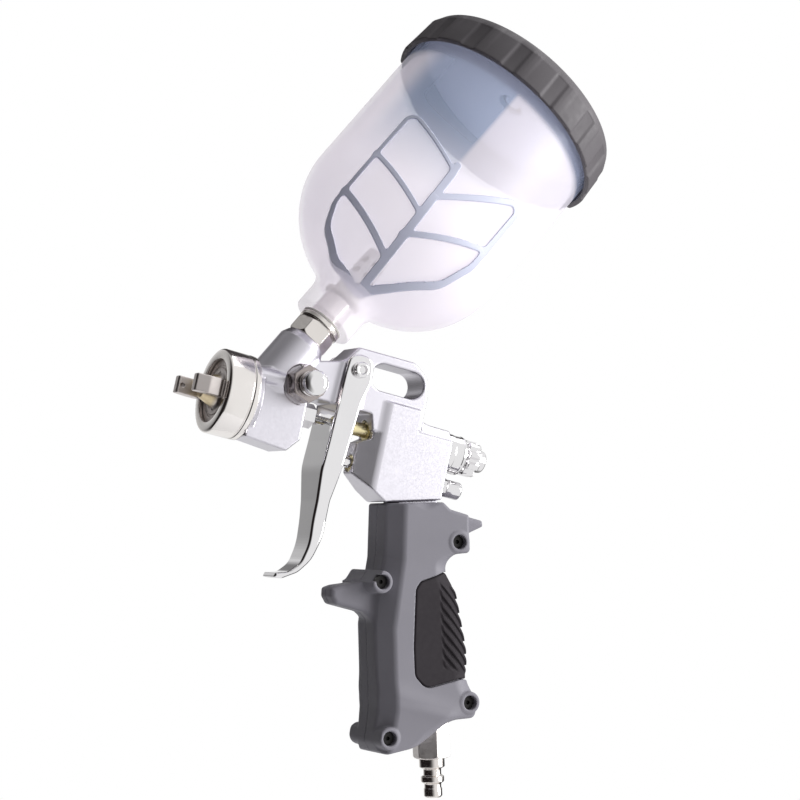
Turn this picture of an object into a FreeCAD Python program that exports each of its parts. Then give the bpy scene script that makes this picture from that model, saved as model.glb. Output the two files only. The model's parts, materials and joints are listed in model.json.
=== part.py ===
import FreeCAD, Part
import math
import os
import Sketcher

# Gravity-feed HVLP spray gun, in millimetres.
# Frame: the origin is the centre of the air cap ring's front plane, on the needle axis.
# -X is the spray direction, +Z is up, and -Y is the side of the fan control.

V = FreeCAD.Vector
X_AXIS = V(1, 0, 0)
Y_AXIS = V(0, 1, 0)
Z_AXIS = V(0, 0, 1)

DRIVING_SIZES = {
    # air cap end, stations along +X from the ring's front plane
    "ring_radius": 17.7,
    "ring_length": 14.0,
    "ring_lip_radius": 13.4,
    "ring_lip_length": 1.5,
    "cap_radius": 14.4,
    "cap_flange_length": 2.6,
    "horn_reach": 12.3,
    "horn_outer": 14.0,
    "horn_inner": 8.0,
    "horn_height": 7.2,
    "orifice_radius": 1.9,
    "nozzle_tip_radius": 1.5,
    # casting
    "body_half_width": 9.0,
    "fin_half_width": 8.0,
    "boss_radius": 10.4,
    "boss_top": 34.0,
    "slot_radius": 5.75,
    "slot_height": 22.75,
    "slot_front": 70.25,
    "slot_rear": 83.6,
    # needle train
    "needle_radius": 1.25,
    "collar_radius": 2.9,
    "spring_bore_radius": 4.5,
    "spring_wire": 0.9,
    "knob_radius": 7.8,
    "knob_start": 118.0,
    # air valve
    "valve_height": 14.7,
    "stem_radius": 2.25,
    "valve_bore_radius": 4.0,
    # fan control, on the -Y side
    "fan_station": 34.2,
    "fan_height": 10.5,
    "fan_flats": 13.7,
    "fan_knob_radius": 5.2,
    # trigger
    "pivot_station": 57.5,
    "pivot_height": 22.5,
    "pivot_radius": 2.5,
    "arm_inside": 9.4,
    "arm_outside": 11.2,
    # cup, stations along its own axis
    "cup_station": 18.66,
    "cup_tilt": 29.63,
    "cup_radius": 47.5,
    "dome_radius": 46.7,
    "dome_depth": 41.7,
    "dome_top": 102.0,
    "cup_wall": 1.8,
    "collar_outer": 13.3,
    "nipple_thread": 7.0,
    "nipple_flats": 16.0,
    "lid_start": 165.3,
    "lid_end": 183.9,
    "lid_radius": 50.7,
    # handle
    "grip_half_width": 16.0,
    "grip_wall": 3.0,
    "pad_thickness": 1.6,
    "screw_radius": 2.6,
    "inlet_rake": 15.5,
    "inlet_station": 103.3,
    "inlet_height": -25.0,
    "tube_radius": 5.0,
    "coupling_flats": 14.0,
}

RUN_GAP = 0.06  # radial running clearance of a turning or sliding fit
FREE_GAP = 0.3  # distance between parts that pass each other

doc = FreeCAD.newDocument("spray_gun")
sheet = doc.addObject("Spreadsheet::Sheet", "sizes")
for row, (alias, number) in enumerate(DRIVING_SIZES.items(), start=1):
    sheet.set(f"A{row}", alias)
    sheet.set(f"B{row}", str(number))
    sheet.setAlias(f"B{row}", alias)
doc.recompute()


class Size:
    """A length with the spreadsheet expression that it comes from."""

    def __init__(self, number, text):
        self.number = number
        self.text = text

    def __add__(self, other):
        other = as_size(other)
        return Size(self.number + other.number, f"({self.text} + {other.text})")

    def __sub__(self, other):
        other = as_size(other)
        return Size(self.number - other.number, f"({self.text} - {other.text})")

    def __mul__(self, other):
        other = as_size(other)
        return Size(self.number * other.number, f"({self.text} * {other.text})")

    def __truediv__(self, other):
        other = as_size(other)
        return Size(self.number / other.number, f"({self.text} / {other.text})")

    __radd__ = __add__
    __rmul__ = __mul__


def as_size(value):
    if isinstance(value, Size):
        return value
    return Size(float(value), repr(float(value)))


def size(alias):
    return Size(DRIVING_SIZES[alias], f"sizes.{alias}")


def bind(item, prop, value):
    """Sets a property to a plain number, or ties it to the spreadsheet."""
    value = as_size(value)
    if "sizes." in value.text:
        item.setExpression(prop, value.text)
    else:
        setattr(item, prop, value.number)


# ---------------------------------------------------------------- placing

def along_x(origin, direction=X_AXIS):
    """A placement whose own X axis points along direction."""
    return FreeCAD.Placement(origin, FreeCAD.Rotation(X_AXIS, direction))


def along_z(origin, direction, turn=0.0):
    """A placement whose own Z axis points along direction, turned about it."""
    lay = FreeCAD.Rotation(Z_AXIS, direction)
    return FreeCAD.Placement(origin, lay.multiply(FreeCAD.Rotation(Z_AXIS, turn)))


CUP_TILT = math.radians(DRIVING_SIZES["cup_tilt"])
CUP_ORIGIN = V(DRIVING_SIZES["cup_station"], 0, 0)
CUP_AXIS = V(math.sin(CUP_TILT), 0, math.cos(CUP_TILT))
RAKE = math.radians(DRIVING_SIZES["inlet_rake"])
INLET_ORIGIN = V(DRIVING_SIZES["inlet_station"], 0, DRIVING_SIZES["inlet_height"])
INLET_AXIS = V(math.sin(RAKE), 0, -math.cos(RAKE))
VALVE_ORIGIN = V(0, 0, -DRIVING_SIZES["valve_height"])
FAN_ORIGIN = V(DRIVING_SIZES["fan_station"], 0, DRIVING_SIZES["fan_height"])
NEEDLE_PLACE = along_x(V(0, 0, 0))
CUP_PLACE = along_x(CUP_ORIGIN, CUP_AXIS)
INLET_PLACE = along_x(INLET_ORIGIN, INLET_AXIS)
FAN_PLACE = along_x(FAN_ORIGIN, V(0, -1, 0))


# ---------------------------------------------------------------- making

def origin_plane(body, role):
    return [item for item in body.Origin.OriginFeatures if item.Role == role][0]


def body_sketch(body, role, name):
    sketch = body.newObject("Sketcher::SketchObject", name)
    sketch.AttachmentSupport = (origin_plane(body, role), [""])
    sketch.MapMode = "FlatFace"
    return sketch


def pin_vertex(sketch, index, direction, axis_line, value):
    """Ties one coordinate of a line's start to a size, or to the axis when it is zero."""
    value = as_size(value)
    if value.number == 0.0:
        sketch.addConstraint(Sketcher.Constraint("PointOnObject", index, 1, axis_line))
        return
    constraint = Sketcher.Constraint(direction, -1, 1, index, 1, value.number)
    number = sketch.addConstraint(constraint)
    if "sizes." in value.text:
        sketch.setExpression(f"Constraints[{number}]", value.text)


def closed_profile(sketch, vertices):
    """Draws a closed, fully constrained polygon of (station, radius) sizes."""
    places = [V(as_size(a).number, as_size(b).number, 0) for a, b in vertices]
    count = len(places)
    for index, start in enumerate(places):
        sketch.addGeometry(Part.LineSegment(start, places[(index + 1) % count]), False)
    for index in range(count):
        following = (index + 1) % count
        sketch.addConstraint(Sketcher.Constraint("Coincident", index, 2, following, 1))
    for index, (station, radius) in enumerate(vertices):
        pin_vertex(sketch, index, "DistanceX", -2, station)
        pin_vertex(sketch, index, "DistanceY", -1, radius)


def turned(name, place, profile):
    """A turned part: the profile runs along the part's own X axis."""
    body = doc.addObject("PartDesign::Body", name)
    sketch = body_sketch(body, "XZ_Plane", name + "_profile")
    closed_profile(sketch, profile)
    turn = body.newObject("PartDesign::Revolution", name + "_turn")
    turn.Profile = sketch
    turn.ReferenceAxis = (sketch, ["H_Axis"])
    turn.Angle = 360
    body.Placement = place
    return body


def tube_profile(start, end, inner, outer):
    return [(start, inner), (start, outer), (end, outer), (end, inner)]


def flute(body, radius, flute_radius, count, length):
    """Cuts a ring of equal half-round grooves along a turned part, from its station 0."""
    sketch = body_sketch(body, "YZ_Plane", body.Name + "_flute_sketch")
    sketch.addGeometry(Part.Circle(V(radius, 0, 0), Z_AXIS, flute_radius), False)
    pocket = body.newObject("PartDesign::Pocket", body.Name + "_flute")
    pocket.Profile = sketch
    pocket.Length = length
    pocket.Reversed = True
    pattern = body.newObject("PartDesign::PolarPattern", body.Name + "_flutes")
    pattern.Originals = [pocket]
    pattern.Axis = (body.Origin.OriginFeatures[0], [""])
    pattern.Angle = 360
    pattern.Occurrences = count
    body.Tip = pattern


def cylinder(name, place, radius, length):
    item = doc.addObject("Part::Cylinder", name)
    bind(item, "Radius", radius)
    bind(item, "Height", length)
    item.Placement = place
    return item


def hexagon(name, place, flats, length):
    item = doc.addObject("Part::Prism", name)
    item.Polygon = 6
    bind(item, "Circumradius", as_size(flats) / math.sqrt(3.0))
    bind(item, "Height", length)
    item.Placement = place
    return item


def block(name, low, high):
    item = doc.addObject("Part::Box", name)
    item.Length = high[0] - low[0]
    item.Width = high[1] - low[1]
    item.Height = high[2] - low[2]
    item.Placement = FreeCAD.Placement(V(*low), FreeCAD.Rotation())
    return item


def fuse(name, items):
    item = doc.addObject("Part::MultiFuse", name)
    item.Shapes = items
    return item


def cut(name, base, items):
    """Takes one tool, or a list of tools, out of base."""
    tool = items
    if isinstance(items, list):
        tool = items[0] if len(items) == 1 else fuse(name + "_tools", items)
    item = doc.addObject("Part::Cut", name)
    item.Base = base
    item.Tool = tool
    return item


def common(name, first, second):
    item = doc.addObject("Part::MultiCommon", name)
    item.Shapes = [first, second]
    return item


def outline(name, corners, rotation=None, lift=V(0, 0, 0)):
    """A sketch of straight sides with rounded corners, given as (x, z, corner radius)."""
    sketch = doc.addObject("Sketcher::SketchObject", name)
    turn = rotation or FreeCAD.Rotation(X_AXIS, 90)
    sketch.Placement = FreeCAD.Placement(lift, turn)
    count = len(corners)
    starts, ends, arcs = [], [], []
    for index, (x, z, radius) in enumerate(corners):
        here = V(x, z, 0)
        before = V(corners[index - 1][0], corners[index - 1][1], 0) - here
        after = V(corners[(index + 1) % count][0], corners[(index + 1) % count][1], 0) - here
        before.normalize()
        after.normalize()
        half_angle = before.getAngle(after) / 2
        setback = radius / math.tan(half_angle) if radius else 0.0
        starts.append(here + before * setback)
        ends.append(here + after * setback)
        middle = (before + after)
        if radius:
            middle.normalize()
            reach = radius / math.sin(half_angle) - radius
            arcs.append(Part.Arc(starts[-1], here + middle * reach, ends[-1]))
        else:
            arcs.append(None)
    for index in range(count):
        if arcs[index] is not None:
            sketch.addGeometry(arcs[index], False)
        following = (index + 1) % count
        if ends[index].distanceToPoint(starts[following]) > 1e-6:
            sketch.addGeometry(Part.LineSegment(ends[index], starts[following]), False)
    return sketch


def extrude(name, sketch, forward, backward=0.0, direction=V(0, -1, 0)):
    """Extrudes a sketch both ways; forward is along direction."""
    item = doc.addObject("Part::Extrusion", name)
    item.Base = sketch
    item.DirMode = "Custom"
    item.Dir = direction
    bind(item, "LengthFwd", forward)
    bind(item, "LengthRev", backward)
    item.Solid = True
    return item


def slab(name, corners, half_width):
    """A plate of the given outline, as thick on either side of the middle plane."""
    return extrude(name, outline(name + "_outline", corners), half_width, half_width)


def round_edges(name, base, radius, wanted):
    """Rounds the edges of base that wanted() picks."""
    doc.recompute()
    numbers = [n for n, edge in enumerate(base.Shape.Edges, start=1) if wanted(edge)]
    item = doc.addObject("Part::Fillet", name)
    item.Base = base
    item.Edges = [(number, radius, radius) for number in numbers]
    return item


def in_plane_y(value):
    """Picks the edges that lie in the plane y = value."""
    def wanted(edge):
        box = edge.BoundBox
        return abs(box.YMin - value) < 1e-4 and abs(box.YMax - value) < 1e-4
    return wanted


def coil(name, place, radius, wire, length, turns):
    """A compression spring, with its axis along the placement's Z axis."""
    helix = doc.addObject("Part::Helix", name + "_helix")
    helix.Pitch = (length - wire) / turns
    helix.Height = length - wire
    helix.Radius = radius
    section = doc.addObject("Part::Circle", name + "_section")
    section.Radius = wire / 2
    section.Placement = FreeCAD.Placement(V(radius, 0, 0), FreeCAD.Rotation(X_AXIS, 90))
    spring = doc.addObject("Part::Sweep", name)
    spring.Sections = [section]
    spring.Spine = (helix, [])
    spring.Solid = True
    spring.Frenet = True
    spring.Placement = place
    return spring


pieces = {}


def keep(node, item):
    """Names the finished sub-part, which also names its file."""
    item.Label = node
    pieces[node] = item


# ---------------------------------------------------------------- air cap end

def make_air_cap_end():
    ring = turned("air_cap_ring", NEEDLE_PLACE, [
        (0, size("ring_lip_radius")),
        (0, size("ring_radius") - 1.0),
        (1.0, size("ring_radius")),
        (size("ring_length") - 0.6, size("ring_radius")),
        (size("ring_length"), size("ring_radius") - 0.6),
        (size("ring_length"), size("cap_radius") + 2 * FREE_GAP),
        (size("ring_lip_length"), size("cap_radius") + 2 * FREE_GAP),
        (size("ring_lip_length"), size("ring_lip_radius")),
    ])
    flute(ring, DRIVING_SIZES["ring_radius"] + 1.6, 2.3, 18, 9.0)
    keep("air_cap_ring", ring)

    seat = size("ring_lip_length") + 0.2
    disc = turned("air_cap_disc", NEEDLE_PLACE, [
        (seat, size("orifice_radius")),
        (seat, size("cap_radius")),
        (seat + size("cap_flange_length"), size("cap_radius")),
        (seat + size("cap_flange_length"), size("cap_radius") - 1.6),
        (9.2, size("cap_radius") - 1.6),
        (9.2, 11.2),
        (5.0, 9.0),
        (4.0, size("orifice_radius") + 2.4),
    ])
    cone = doc.addObject("Part::Cone", "air_cap_cone")
    cone.Radius1 = 7.6
    cone.Radius2 = 4.2
    cone.Height = 5.4 + 2.2
    cone.Placement = along_z(V(2.2, 0, 0), V(-1, 0, 0))
    horns = [horn(side) for side in (-1, 1)]
    jets = [horn_jet(side) for side in (-1, 1)]
    bore = cylinder("air_cap_bore", along_z(V(-6, 0, 0), X_AXIS), size("orifice_radius"), 8.3)
    cup = doc.addObject("Part::Cone", "air_cap_inside")
    cup.Radius1 = 2.0
    cup.Radius2 = 6.0
    cup.Height = 4.0
    cup.Placement = along_z(V(0.4, 0, 0), X_AXIS)
    solid = fuse("air_cap_solid", [disc, cone] + horns)
    keep("air_cap", cut("air_cap", solid, [bore, cup] + jets))

    clip_start = DRIVING_SIZES["ring_lip_length"] + 0.2 + DRIVING_SIZES["cap_flange_length"] + 0.1
    keep("air_cap_clip", turned("air_cap_clip", NEEDLE_PLACE, tube_profile(
        clip_start, clip_start + 1.0, size("cap_radius") - 1.3, size("cap_radius") + FREE_GAP)))


def horn(side):
    """One air horn, a block that stands forward and slants on its outer side."""
    inner = DRIVING_SIZES["horn_inner"] * side
    outer = DRIVING_SIZES["horn_outer"] * side
    reach = DRIVING_SIZES["horn_reach"]
    root = 0.87 * outer
    corners = [
        (2.5, inner, 0), (2.5, root, 0), (-0.8, root, 0), (-2.2, outer, 1.0),
        (-0.55 * reach, outer, 2.0), (-reach, root, 0.8), (-reach, inner, 0.8),
    ]
    flat = FreeCAD.Rotation()
    sketch = outline(f"horn_outline_{side + 1}", corners, flat)
    item = extrude(f"horn_{side + 1}", sketch, size("horn_height") / 2,
                   size("horn_height") / 2, Z_AXIS)
    return item


def horn_jet(side):
    """A jet hole that aims from the horn's inner face at the spray axis."""
    reach = DRIVING_SIZES["horn_reach"]
    start = V(-reach + 3.4, side * (DRIVING_SIZES["horn_inner"] + 2.6), 0)
    aim = V(-0.45, -side, 0)
    return cylinder(f"horn_jet_{side + 1}", along_z(start, aim), 0.8, 6.0)


def make_nozzle():
    keep("fluid_nozzle", turned("fluid_nozzle", NEEDLE_PLACE.multiply(
        FreeCAD.Placement(V(-4.6, 0, 0), FreeCAD.Rotation())), [
            (0, 0.75),
            (0, size("nozzle_tip_radius")),
            (4.5, size("nozzle_tip_radius")),
            (8.6, 4.2),
            (13.8, 4.2),
            (13.8, 6.3),
            (17.4, 6.3),
            (17.4, 5.0),
            (30.6, 5.0),
            (30.6, 2.6),
            (9.6, 2.6),
            (4.6, 1.45),
        ]))
    baffle = turned("air_baffle", along_x(V(9.6, 0, 0)), tube_profile(0, 2.4, 6.6, 13.1))
    flute(baffle, 9.5, 1.1, 8, 3.0)
    keep("air_baffle", baffle)
    keep("nozzle_gasket", turned(
        "nozzle_gasket", NEEDLE_PLACE, tube_profile(12.8, 14.0, 5.0, 6.1)))


# ---------------------------------------------------------------- casting

def make_body():
    half = size("body_half_width")
    head = slab("head_block", [
        (14.5, -16.0, 0), (33.4, -17.6, 0.8), (38.5, -11.8, 0.8), (38.3, 4.0, 1),
        (38.3, 12.0, 0), (20.0, 14.0, 0), (14.5, 13.0, 0),
    ], half)
    flange = cylinder("head_flange", along_z(V(7.6, 0, 0), X_AXIS),
                      size("cap_radius"), 9.4)
    boss = turned("cup_boss", CUP_PLACE, [
        (2.0, 0), (2.0, size("boss_radius")), (size("boss_top") - 3.5, size("boss_radius")),
        (size("boss_top"), size("boss_radius") - 1.6), (size("boss_top"), 0),
    ])
    bridge = slab("bridge", [
        (26.0, 6.7, 0), (62.0, 6.7, 0), (62.0, 26.0, 0), (51.3, 25.1, 1),
        (38.7, 21.9, 1), (30.0, 21.5, 0),
    ], size("fin_half_width"))
    fin = slab("hanging_fin", [
        (50.0, 6.7, 0), (50.8, 24.6, 1), (56.7, 32.4, 1.5), (83.5, 32.5, 4.0),
        (90.5, 27.5, 4.0), (92.2, 19.0, 3.0), (92.2, 0, 0), (70.0, 0, 0), (68.0, 6.7, 1),
    ], size("fin_half_width"))
    rear = slab("rear_block", [
        (70.8, 9.0, 0), (71.0, -3.0, 0), (66.0, -6.0, 1), (66.0, -19.0, 1.5), (82.0, -27.4, 3.0),
        (107.5, -20.3, 1.2), (107.5, 9.0, 0),
    ], half)
    tang = slab("handle_tang", [
        (88.0, -24.0, 0), (106.0, -19.0, 0), (110.5, -40.0, 0), (93.5, -40.0, 0),
    ], 7.5)
    passage = cylinder("side_passage", along_z(V(14.5, -8.6, 10.3), X_AXIS), 3.1, 11.5)
    cheeks = [front_cheek(side) for side in (-1, 1)]
    roof = [roof_corner(side) for side in (-1, 1)]
    raw = fuse("casting_raw", [head, flange, boss, bridge, fin, rear, tang, passage])
    spot_face = cylinder("fan_spot_face", along_z(FAN_ORIGIN + V(0, -20, 0), Y_AXIS), 8.2, 11.0)
    faced = cut("casting_faced", raw, spot_face)
    keep("body_casting", cut("body_casting", faced, body_bores() + cheeks + roof))


def front_cheek(side):
    """Bevels the front corner of the rear block on one side."""
    corners = [(60.0, 4.0 * side, 0), (66.0, 4.0 * side, 0), (75.5, 9.05 * side, 0),
               (75.5, 12.0 * side, 0), (60.0, 12.0 * side, 0)]
    sketch = outline(f"cheek_outline_{side + 1}", corners, FreeCAD.Rotation())
    return extrude(f"cheek_{side + 1}", sketch, 6.7, 34.0, Z_AXIS)


def roof_corner(side):
    """Bevels the top of the rear block, behind the fin."""
    corners = [(10.0 * side, 3.8, 0), (10.0 * side, 12.0, 0), (3.0 * side, 12.0, 0),
               (3.0 * side, 9.6, 0), (9.05 * side, 4.2, 0)]
    upright = FreeCAD.Rotation(V(0, 1, 0), V(0, 0, 1), V(1, 0, 0), "XYZ")
    sketch = outline(f"roof_outline_{side + 1}", corners, upright, V(92.3, 0, 0))
    return extrude(f"roof_{side + 1}", sketch, 20.0, 0.0, X_AXIS)


def body_bores():
    """The passages, seats and openings that are cut out of the casting."""
    slot_span = DRIVING_SIZES["slot_rear"] - DRIVING_SIZES["slot_front"]
    slot_low = DRIVING_SIZES["slot_height"] - DRIVING_SIZES["slot_radius"]
    front_x = DRIVING_SIZES["slot_front"]
    slot = [cylinder(f"slot_end_{index}", along_z(V(station, -12, DRIVING_SIZES["slot_height"]),
                     Y_AXIS), size("slot_radius"), 24)
            for index, station in enumerate((front_x, front_x + slot_span))]
    slot.append(block("slot_middle", (front_x, -12, slot_low),
                      (front_x + slot_span, 12, slot_low + 2 * DRIVING_SIZES["slot_radius"])))
    needle = [
        cylinder("nozzle_thread_bore", along_z(V(13.9, 0, 0), X_AXIS), 5.0, 15.1),
        cylinder("nozzle_recess", along_z(V(7.0, 0, 0), X_AXIS), 6.4, 7.0),
        cylinder("air_ring_recess", along_z(V(7.0, 0, 0), X_AXIS), 13.2, 5.0),
        cylinder("packing_bore", along_z(V(29.0, 0, 0), X_AXIS), 3.8, 10.0),
        cylinder("needle_way", along_z(V(28.0, 0, 0), X_AXIS), 1.8, 4.0),
        cylinder("spring_bore", along_z(V(60.0, 0, 0), X_AXIS), size("spring_bore_radius"), 39.0),
        cylinder("housing_bore", along_z(V(98.5, 0, 0), X_AXIS), 6.8, 10.0),
    ]
    valve = [
        cylinder("stem_bore", along_z(VALVE_ORIGIN + V(60, 0, 0), X_AXIS), 3.2, 25.0),
        cylinder("gland_bore", along_z(VALVE_ORIGIN + V(64, 0, 0), X_AXIS), 3.6, 8.0),
        cylinder("valve_bore", along_z(VALVE_ORIGIN + V(76, 0, 0), X_AXIS),
                 size("valve_bore_radius"), 33.0),
    ]
    air = [
        cylinder("tube_bore", along_z(INLET_ORIGIN + INLET_AXIS * 2, INLET_AXIS), 5.0, 31.0),
        cylinder("tube_way", along_z(INLET_ORIGIN - INLET_AXIS * 8, INLET_AXIS), 3.0, 11.0),
        cylinder("air_way", along_z(V(78, 0, -14), V(-0.93, 0, 0.36)), 2.0, 12.0),
        cylinder("fan_bore", along_z(FAN_ORIGIN + V(0, -20, 0), Y_AXIS), 4.2, 23.0),
        cylinder("fan_way", along_z(V(14.0, -8.6, 10.3), X_AXIS), 1.6, 12.0),
    ]
    cup_way = [
        cylinder("nipple_bore", along_z(CUP_ORIGIN + CUP_AXIS * 22, CUP_AXIS), 6.0, 15.0),
        cylinder("paint_way", along_z(CUP_ORIGIN + CUP_AXIS * 1.0, CUP_AXIS), 3.0, 22.0),
    ]
    pivot = [cylinder("pivot_bore", along_z(
        V(DRIVING_SIZES["pivot_station"], -12, DRIVING_SIZES["pivot_height"]), Y_AXIS),
        size("pivot_radius"), 24)]
    return slot + needle + valve + air + cup_way + pivot


# ---------------------------------------------------------------- needle train

def make_needle_train():
    keep("needle", turned("needle", along_x(V(-4.9, 0, 0)), [
        (0, 0.3), (0.3, 0.7), (5.2, size("needle_radius")), (121.0, size("needle_radius")),
        (121.8, size("needle_radius") - 0.5), (121.8, 0), (0, 0),
    ]))
    keep("needle_collar", turned("needle_collar", along_x(V(54.5, 0, 0)), [
        (0, size("needle_radius")), (0, size("collar_radius") - 0.5),
        (0.5, size("collar_radius")), (16.2, size("collar_radius")),
        (16.2, 4.2), (18.2, 4.2), (18.2, size("needle_radius")),
    ]))
    keep("needle_packing", turned("needle_packing", NEEDLE_PLACE, tube_profile(
        32.0, 35.5, size("needle_radius") + RUN_GAP, 3.8)))
    thread = turned("packing_nut_thread", NEEDLE_PLACE, tube_profile(
        35.5, 39.0, size("needle_radius") + FREE_GAP, 3.8))
    head = hexagon("packing_nut_head", along_z(V(38.6, 0, 0), X_AXIS), 9.0, 6.4)
    hole = cylinder("packing_nut_hole", along_z(V(38.0, 0, 0), X_AXIS),
                    size("needle_radius") + FREE_GAP, 9.0)
    keep("packing_nut", cut("packing_nut", fuse("packing_nut_solid", [thread, head]), hole))
    keep("needle_spring", coil("needle_spring", along_z(V(73.4, 0, 0), X_AXIS),
                               3.2, DRIVING_SIZES["spring_wire"], 36.2, 10))
    sleeve = turned("needle_housing", along_x(V(98.5, 0, 0)), [
        (0, size("spring_bore_radius")), (0, 6.8), (9.0, 6.8), (9.0, 8.4), (16.6, 8.4),
        (17.4, 7.6), (17.4, size("spring_bore_radius")),
    ])
    keep("needle_housing", sleeve)
    seat_start = DRIVING_SIZES["knob_start"] - 7.8
    keep("knob_seat", turned("knob_seat", along_x(V(seat_start, 0, 0)), tube_profile(
        0, 1.6, size("needle_radius") + FREE_GAP, size("spring_bore_radius") - RUN_GAP)))
    neck = size("spring_bore_radius") - RUN_GAP
    knob = turned("fluid_knob", along_x(V(DRIVING_SIZES["knob_start"] - 6.0, 0, 0)), [
        (0, 3.0), (0, neck), (5.2, neck), (5.2, size("knob_radius") - 1.6),
        (6.0, size("knob_radius") - 0.6), (6.6, size("knob_radius")), (10.8, size("knob_radius")),
        (11.4, size("knob_radius") - 0.6), (11.4, 5.2), (15.0, 4.6), (15.8, 3.8), (15.8, 0),
        (10.6, 0), (10.6, 3.0),
    ])
    flute(knob, DRIVING_SIZES["knob_radius"] + 1.4, 2.2, 9, 12.0)
    keep("fluid_knob", knob)


def make_air_valve():
    keep("valve_stem", turned("valve_stem", along_x(VALVE_ORIGIN + V(54.0, 0, 0)), [
        (0, size("stem_radius") - 0.4), (0.4, size("stem_radius")), (20.6, size("stem_radius")),
        (21.2, 1.5), (28.0, 1.5), (28.0, 3.4), (30.0, 3.4), (30.0, 0), (0, 0),
    ]))
    keep("valve_gland", turned("valve_gland", along_x(VALVE_ORIGIN + V(66.8, 0, 0)), tube_profile(
        0, 4.8, size("stem_radius") + RUN_GAP, 3.6)))
    keep("valve_seat", turned("valve_seat", along_x(VALVE_ORIGIN + V(76.0, 0, 0)), tube_profile(
        0, 5.6, 2.9, size("valve_bore_radius"))))
    keep("valve_spring", coil("valve_spring", along_z(VALVE_ORIGIN + V(84.5, 0, 0), X_AXIS),
                              2.4, 0.7, 15.0, 7))
    bush = turned("air_screw_bush", along_x(VALVE_ORIGIN + V(99.6, 0, 0)), tube_profile(
        0, 8.2, 2.6 + RUN_GAP, size("valve_bore_radius")))
    collar = hexagon("air_screw_bush_hex", along_z(VALVE_ORIGIN + V(107.6, 0, 0), X_AXIS), 8.8, 3.4)
    hole = cylinder("air_screw_bush_hole", along_z(VALVE_ORIGIN + V(106.0, 0, 0), X_AXIS),
                    2.6 + RUN_GAP, 6.0)
    keep("air_screw_bush", cut("air_screw_bush", fuse("air_screw_bush_solid", [bush, collar]), hole))
    keep("air_screw_ring", turned("air_screw_ring", along_x(VALVE_ORIGIN + V(105.0, 0, 0)),
                                  tube_profile(0, 1.6, 1.7 + RUN_GAP, 2.6)))
    screw = turned("air_screw_turned", along_x(VALVE_ORIGIN + V(101.0, 0, 0)), [
        (0, 0), (0, 0.8), (1.0, 2.6), (4.0, 2.6), (4.0, 1.7), (5.6, 1.7), (5.6, 2.6),
        (10.6, 2.6), (10.6, 3.8), (17.0, 3.8), (18.4, 3.0), (18.4, 0),
    ])
    slit = block("air_screw_slit", (117.0, -0.6, -24.0), (121.0, 0.6, -6.0))
    keep("air_screw", cut("air_screw", screw, slit))


def make_fan_control():
    gland = turned("fan_gland_thread", FAN_PLACE, tube_profile(1.5, 9.0, 2.6 + RUN_GAP, 4.2))
    nut = hexagon("fan_gland_hex", along_z(FAN_ORIGIN + V(0, -9.0, 0), V(0, -1, 0), 18.0),
                  size("fan_flats"), 8.2)
    trim = turned("fan_gland_trim", FAN_PLACE, [
        (7.0, 0), (7.0, 9.0), (16.6, 9.0), (17.6, 6.5), (17.6, 0)])
    nut = common("fan_gland_head", nut, trim)
    groove = turned("fan_gland_groove", FAN_PLACE, tube_profile(11.4, 12.2, 7.1, 9.0))
    hole = cylinder("fan_gland_hole", along_z(FAN_ORIGIN + V(0, -1, 0), V(0, -1, 0)),
                    2.6 + RUN_GAP, 20.0)
    solid = fuse("fan_gland_solid", [gland, nut])
    keep("fan_gland", cut("fan_gland", solid, [groove, hole]))
    keep("fan_ring", turned("fan_ring", FAN_PLACE, tube_profile(10.0, 11.6, 1.7 + RUN_GAP, 2.6)))
    keep("fan_spindle", turned("fan_spindle", FAN_PLACE, [
        (0.5, 0), (2.5, 2.4), (6.0, 2.6), (10.0, 2.6), (10.0, 1.7), (11.6, 1.7), (11.6, 2.6),
        (18.0, 2.6), (18.0, 2.0), (23.0, 2.0), (23.0, 0),
    ]))
    keep("fan_knob", turned("fan_knob", FAN_PLACE, [
        (18.0, 2.0), (18.0, 4.8), (18.5, size("fan_knob_radius")),
        (23.4, size("fan_knob_radius")), (24.6, size("fan_knob_radius") - 0.9),
        (25.2, 2.2), (25.3, 0), (23.0, 0), (23.0, 2.0),
    ]))


# ---------------------------------------------------------------- trigger

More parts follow.
